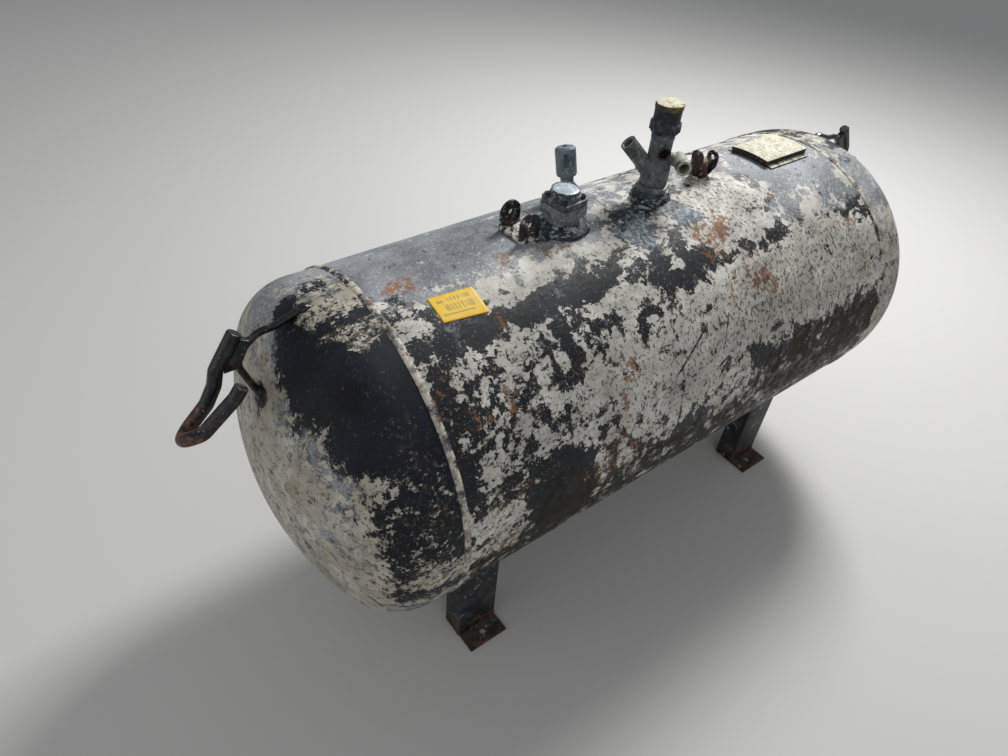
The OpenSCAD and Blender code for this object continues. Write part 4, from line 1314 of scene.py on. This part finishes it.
@dataclass
class HoodBrackets:
    """Hinge bracket, latch bracket, staple and rusted block that held the missing valve hood."""

    latch_x: float = 197.0
    latch_y: float = 8.0
    latch_lean: float = 8.0
    pin_height: float = 45.5
    pin_radius: float = 5.0
    pin_half: float = 2.7
    chamfer: tuple[float, float] = (0.3, 0.4)
    hinge_bead: float = 3.4
    latch_bead: float = 3.6
    bead_sink: float = 0.5

    def build(self) -> None:
        """Builds the brackets and the welds at their feet."""
        black = Maker("black_iron", BRACKET_PAINT)
        black.soften("hinge_bracket")
        Maker("black_iron", LATCH_PAINT).soften("latch_bracket")
        black.soften("latch_staple")
        rusty = Maker("rusty_iron", RUSTY_STEEL)
        rusty.soften("latch_block", 1.4)
        rusty.keep(self.pin_stub(), "latch_pin_stub")
        low, high = (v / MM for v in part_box("hinge_bracket"))
        for i, y in enumerate((low.y + 1, high.y - 1)):
            z = AXIS + math.sqrt(RADIUS ** 2 - y ** 2) + self.bead_sink
            bead = bead_along([(low.x + 2, y, z), (high.x - 2, y, z)], self.hinge_bead, i)
            black.keep(bead, f"hinge_weld_{i + 1}", sharp=60)
        low, high = (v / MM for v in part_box("latch_bracket"))
        path = [(low.x + 9, y, TOP + self.bead_sink) for y in (low.y + 2, high.y - 2)]
        black.keep(bead_along(path, self.latch_bead, 3.0), "latch_weld", sharp=60)

    def pin_stub(self) -> Shape:
        """Makes the stub of a rusted pin that fills the hole of the latch's upright."""
        r, half = self.pin_radius, self.pin_half
        end, side = r - self.chamfer[0], half - self.chamfer[1]
        shape = turned([(0, -half), (end, -half), (r, -side), (r, side), (end, half), (0, half)], 32, False)
        return moved(shape, shift(self.latch_x, self.latch_y, TOP), spun(-self.latch_lean, "Y"),
                     shift(z=self.pin_height), spun(90, "Y"))


@dataclass
class DataPlate:
    """Bare data plate on its raised frame."""

    def build(self) -> None:
        """Builds the frame and the plate."""
        Maker("plate_paint", FRAME_PAINT).soften("plate_frame", 0.7)
        Maker("plate_paint", PLATE_PAINT).soften("data_plate", 0.8)


@dataclass
class LiftingBars:
    """Bent lug bar and hook on each head, with the lumps of weld at the lug's two ends."""

    grain: float = 1.5
    rounds: int = 5
    lug_y: float = 16.0
    top_lump: tuple[float, float, Triple] = (637, 779, (13, 10, 6))
    low_lump: tuple[float, float, Triple] = (723, 652, (8, 10, 15))

    def build(self) -> None:
        """Builds the bars of both heads."""
        paint = Maker("black_iron", BAR_PAINT)
        for side, name in ((-1, "left"), (1, "right")):
            lumps = [lump((side * x, self.lug_y, z), size, seed)
                     for seed, (x, z, size) in enumerate((self.top_lump, self.low_lump), 1)]
            paint.cast("lug_" + name, "lug_bar_" + name, self.grain, self.rounds, *lumps, sharp=70)
            paint.cast("hook_" + name, "hook_bar_" + name, self.grain, self.rounds, sharp=70)


@dataclass
class Sticker:
    """Yellow sheet stuck on the barrel near the left head: corners along it and in degrees from its top."""

    corners: tuple[tuple[float, float], ...] = ((-475, -20.6), (-397, -22.4), (-397, -12.4), (-475, -11.2))
    thickness: float = 0.2
    curl: float = 1.5

    def build(self) -> None:
        """Bends a fine grid onto the barrel and gives it its thickness."""
        shape = bmesh.new()
        shape.loops.layers.uv.new("UVMap")
        bmesh.ops.create_grid(shape, x_segments=26, y_segments=20, size=0.5, calc_uvs=True)
        for vert in shape.verts:
            u, v = vert.co.x + 0.5, vert.co.y + 0.5
            shares = ((1 - u) * (1 - v), u * (1 - v), u * v, (1 - u) * v)
            x, angle = (sum(s * c[i] for s, c in zip(shares, self.corners)) for i in (0, 1))
            lift = self.curl * max(0.0, u + v - 1.7) + 0.25 * max(0.0, noise.noise(Vector((u * 7, v * 7, 2))))
            radius, turn = RADIUS + self.thickness + lift, math.radians(angle)
            vert.co = Vector((x, radius * math.sin(turn), AXIS + radius * math.cos(turn))) * MM
        bmesh.ops.recalc_face_normals(shape, faces=shape.faces)
        if sum(f.normal.z for f in shape.faces) < 0:
            bmesh.ops.reverse_faces(shape, faces=shape.faces)
        thick = Maker("", DecalSheet()).keep(shape, "sticker_sheet").modifiers.new("thickness", "SOLIDIFY")
        thick.thickness, thick.offset = self.thickness * MM, 1.0


@dataclass
class PhotoCamera:
    """The photograph's camera: where it stood, where it looked and how it was rolled, in metres."""

    place: Triple = (-0.9442, -0.8087, 1.4201)
    target: Triple = (-0.2140, 0.0517, 0.4088)
    roll: float = 0.09351
    lens_mm: float = 25.66
    sensor_mm: float = 36.0

    def build(self) -> None:
        """Adds the camera and makes it the scene's own."""
        data = bpy.data.cameras.new("photo_camera")
        data.sensor_fit = "HORIZONTAL"
        data.sensor_width = self.sensor_mm
        data.lens = self.lens_mm
        camera = added("photo_camera", data)
        forward = (Vector(self.target) - Vector(self.place)).normalized()
        level = forward.cross(Vector((0, 0, 1))).normalized()
        upright = level.cross(forward)
        right = math.cos(self.roll) * level + math.sin(self.roll) * upright
        up = math.cos(self.roll) * upright - math.sin(self.roll) * level
        camera.matrix_world = (Matrix.Translation(self.place)
                               @ Matrix((right, up, -forward)).transposed().to_4x4())
        bpy.context.scene.camera = camera


@dataclass
class Studio:
    """Plain pale floor and soft lamps round the tank. Places and sizes are in metres, power in watts."""

    floor_size: float = 16.0
    floor_colour: str = "#d0cfcc"
    sky_colour: str = "#eef1f5"
    sky_strength: float = 0.32
    aim: Triple = (0, 0, 0.4)
    lamps: tuple[tuple[str, Triple, float, float], ...] = (
        ("key_lamp", (2.1, 0.9, 2.9), 0.9, 118.0),
        ("front_lamp", (-1.5, -2.8, 2.0), 2.6, 10.0),
        ("left_lamp", (-3.0, 0.2, 1.5), 2.2, 10.0),
    )

    def build(self) -> None:
        """Adds floor, lamps and world."""
        bpy.ops.mesh.primitive_plane_add(size=self.floor_size, location=(0, 0, 0))
        floor = bpy.context.object
        floor.name = "studio_floor"
        material, tree, shader = blank_material("pale_floor")
        plug(tree, shader, {"Base Color": linear(self.floor_colour), "Roughness": 0.9})
        floor.data.materials.append(material)
        for name, place, size, power in self.lamps:
            data = bpy.data.lights.new(name, "AREA")
            data.energy = power
            data.size = size
            lamp = added(name, data)
            lamp.location = place
            lamp.rotation_euler = (Vector(self.aim) - Vector(place)).to_track_quat("-Z", "Y").to_euler()
        world = bpy.data.worlds.new("studio_world")
        bpy.context.scene.world = world
        world.use_nodes = True
        plug(world.node_tree, world.node_tree.nodes["Background"],
             {"Color": linear(self.sky_colour), "Strength": self.sky_strength})


def main() -> None:
    """Builds the tank's pieces in order round the CAD frame."""
    logging.basicConfig(level=logging.INFO, format="%(message)s")
    bpy.context.scene.view_settings.view_transform = "Standard"
    PhotoCamera().build()
    Studio().build()
    for assembly in (Shell(), Legs(), CouplingWelds(), FloatGauge(), ReliefValve(), ServiceValve(),
                     HoodBrackets(), DataPlate(), LiftingBars(), Sticker()):
        assembly.build()


if __name__ == "__main__":
    main()
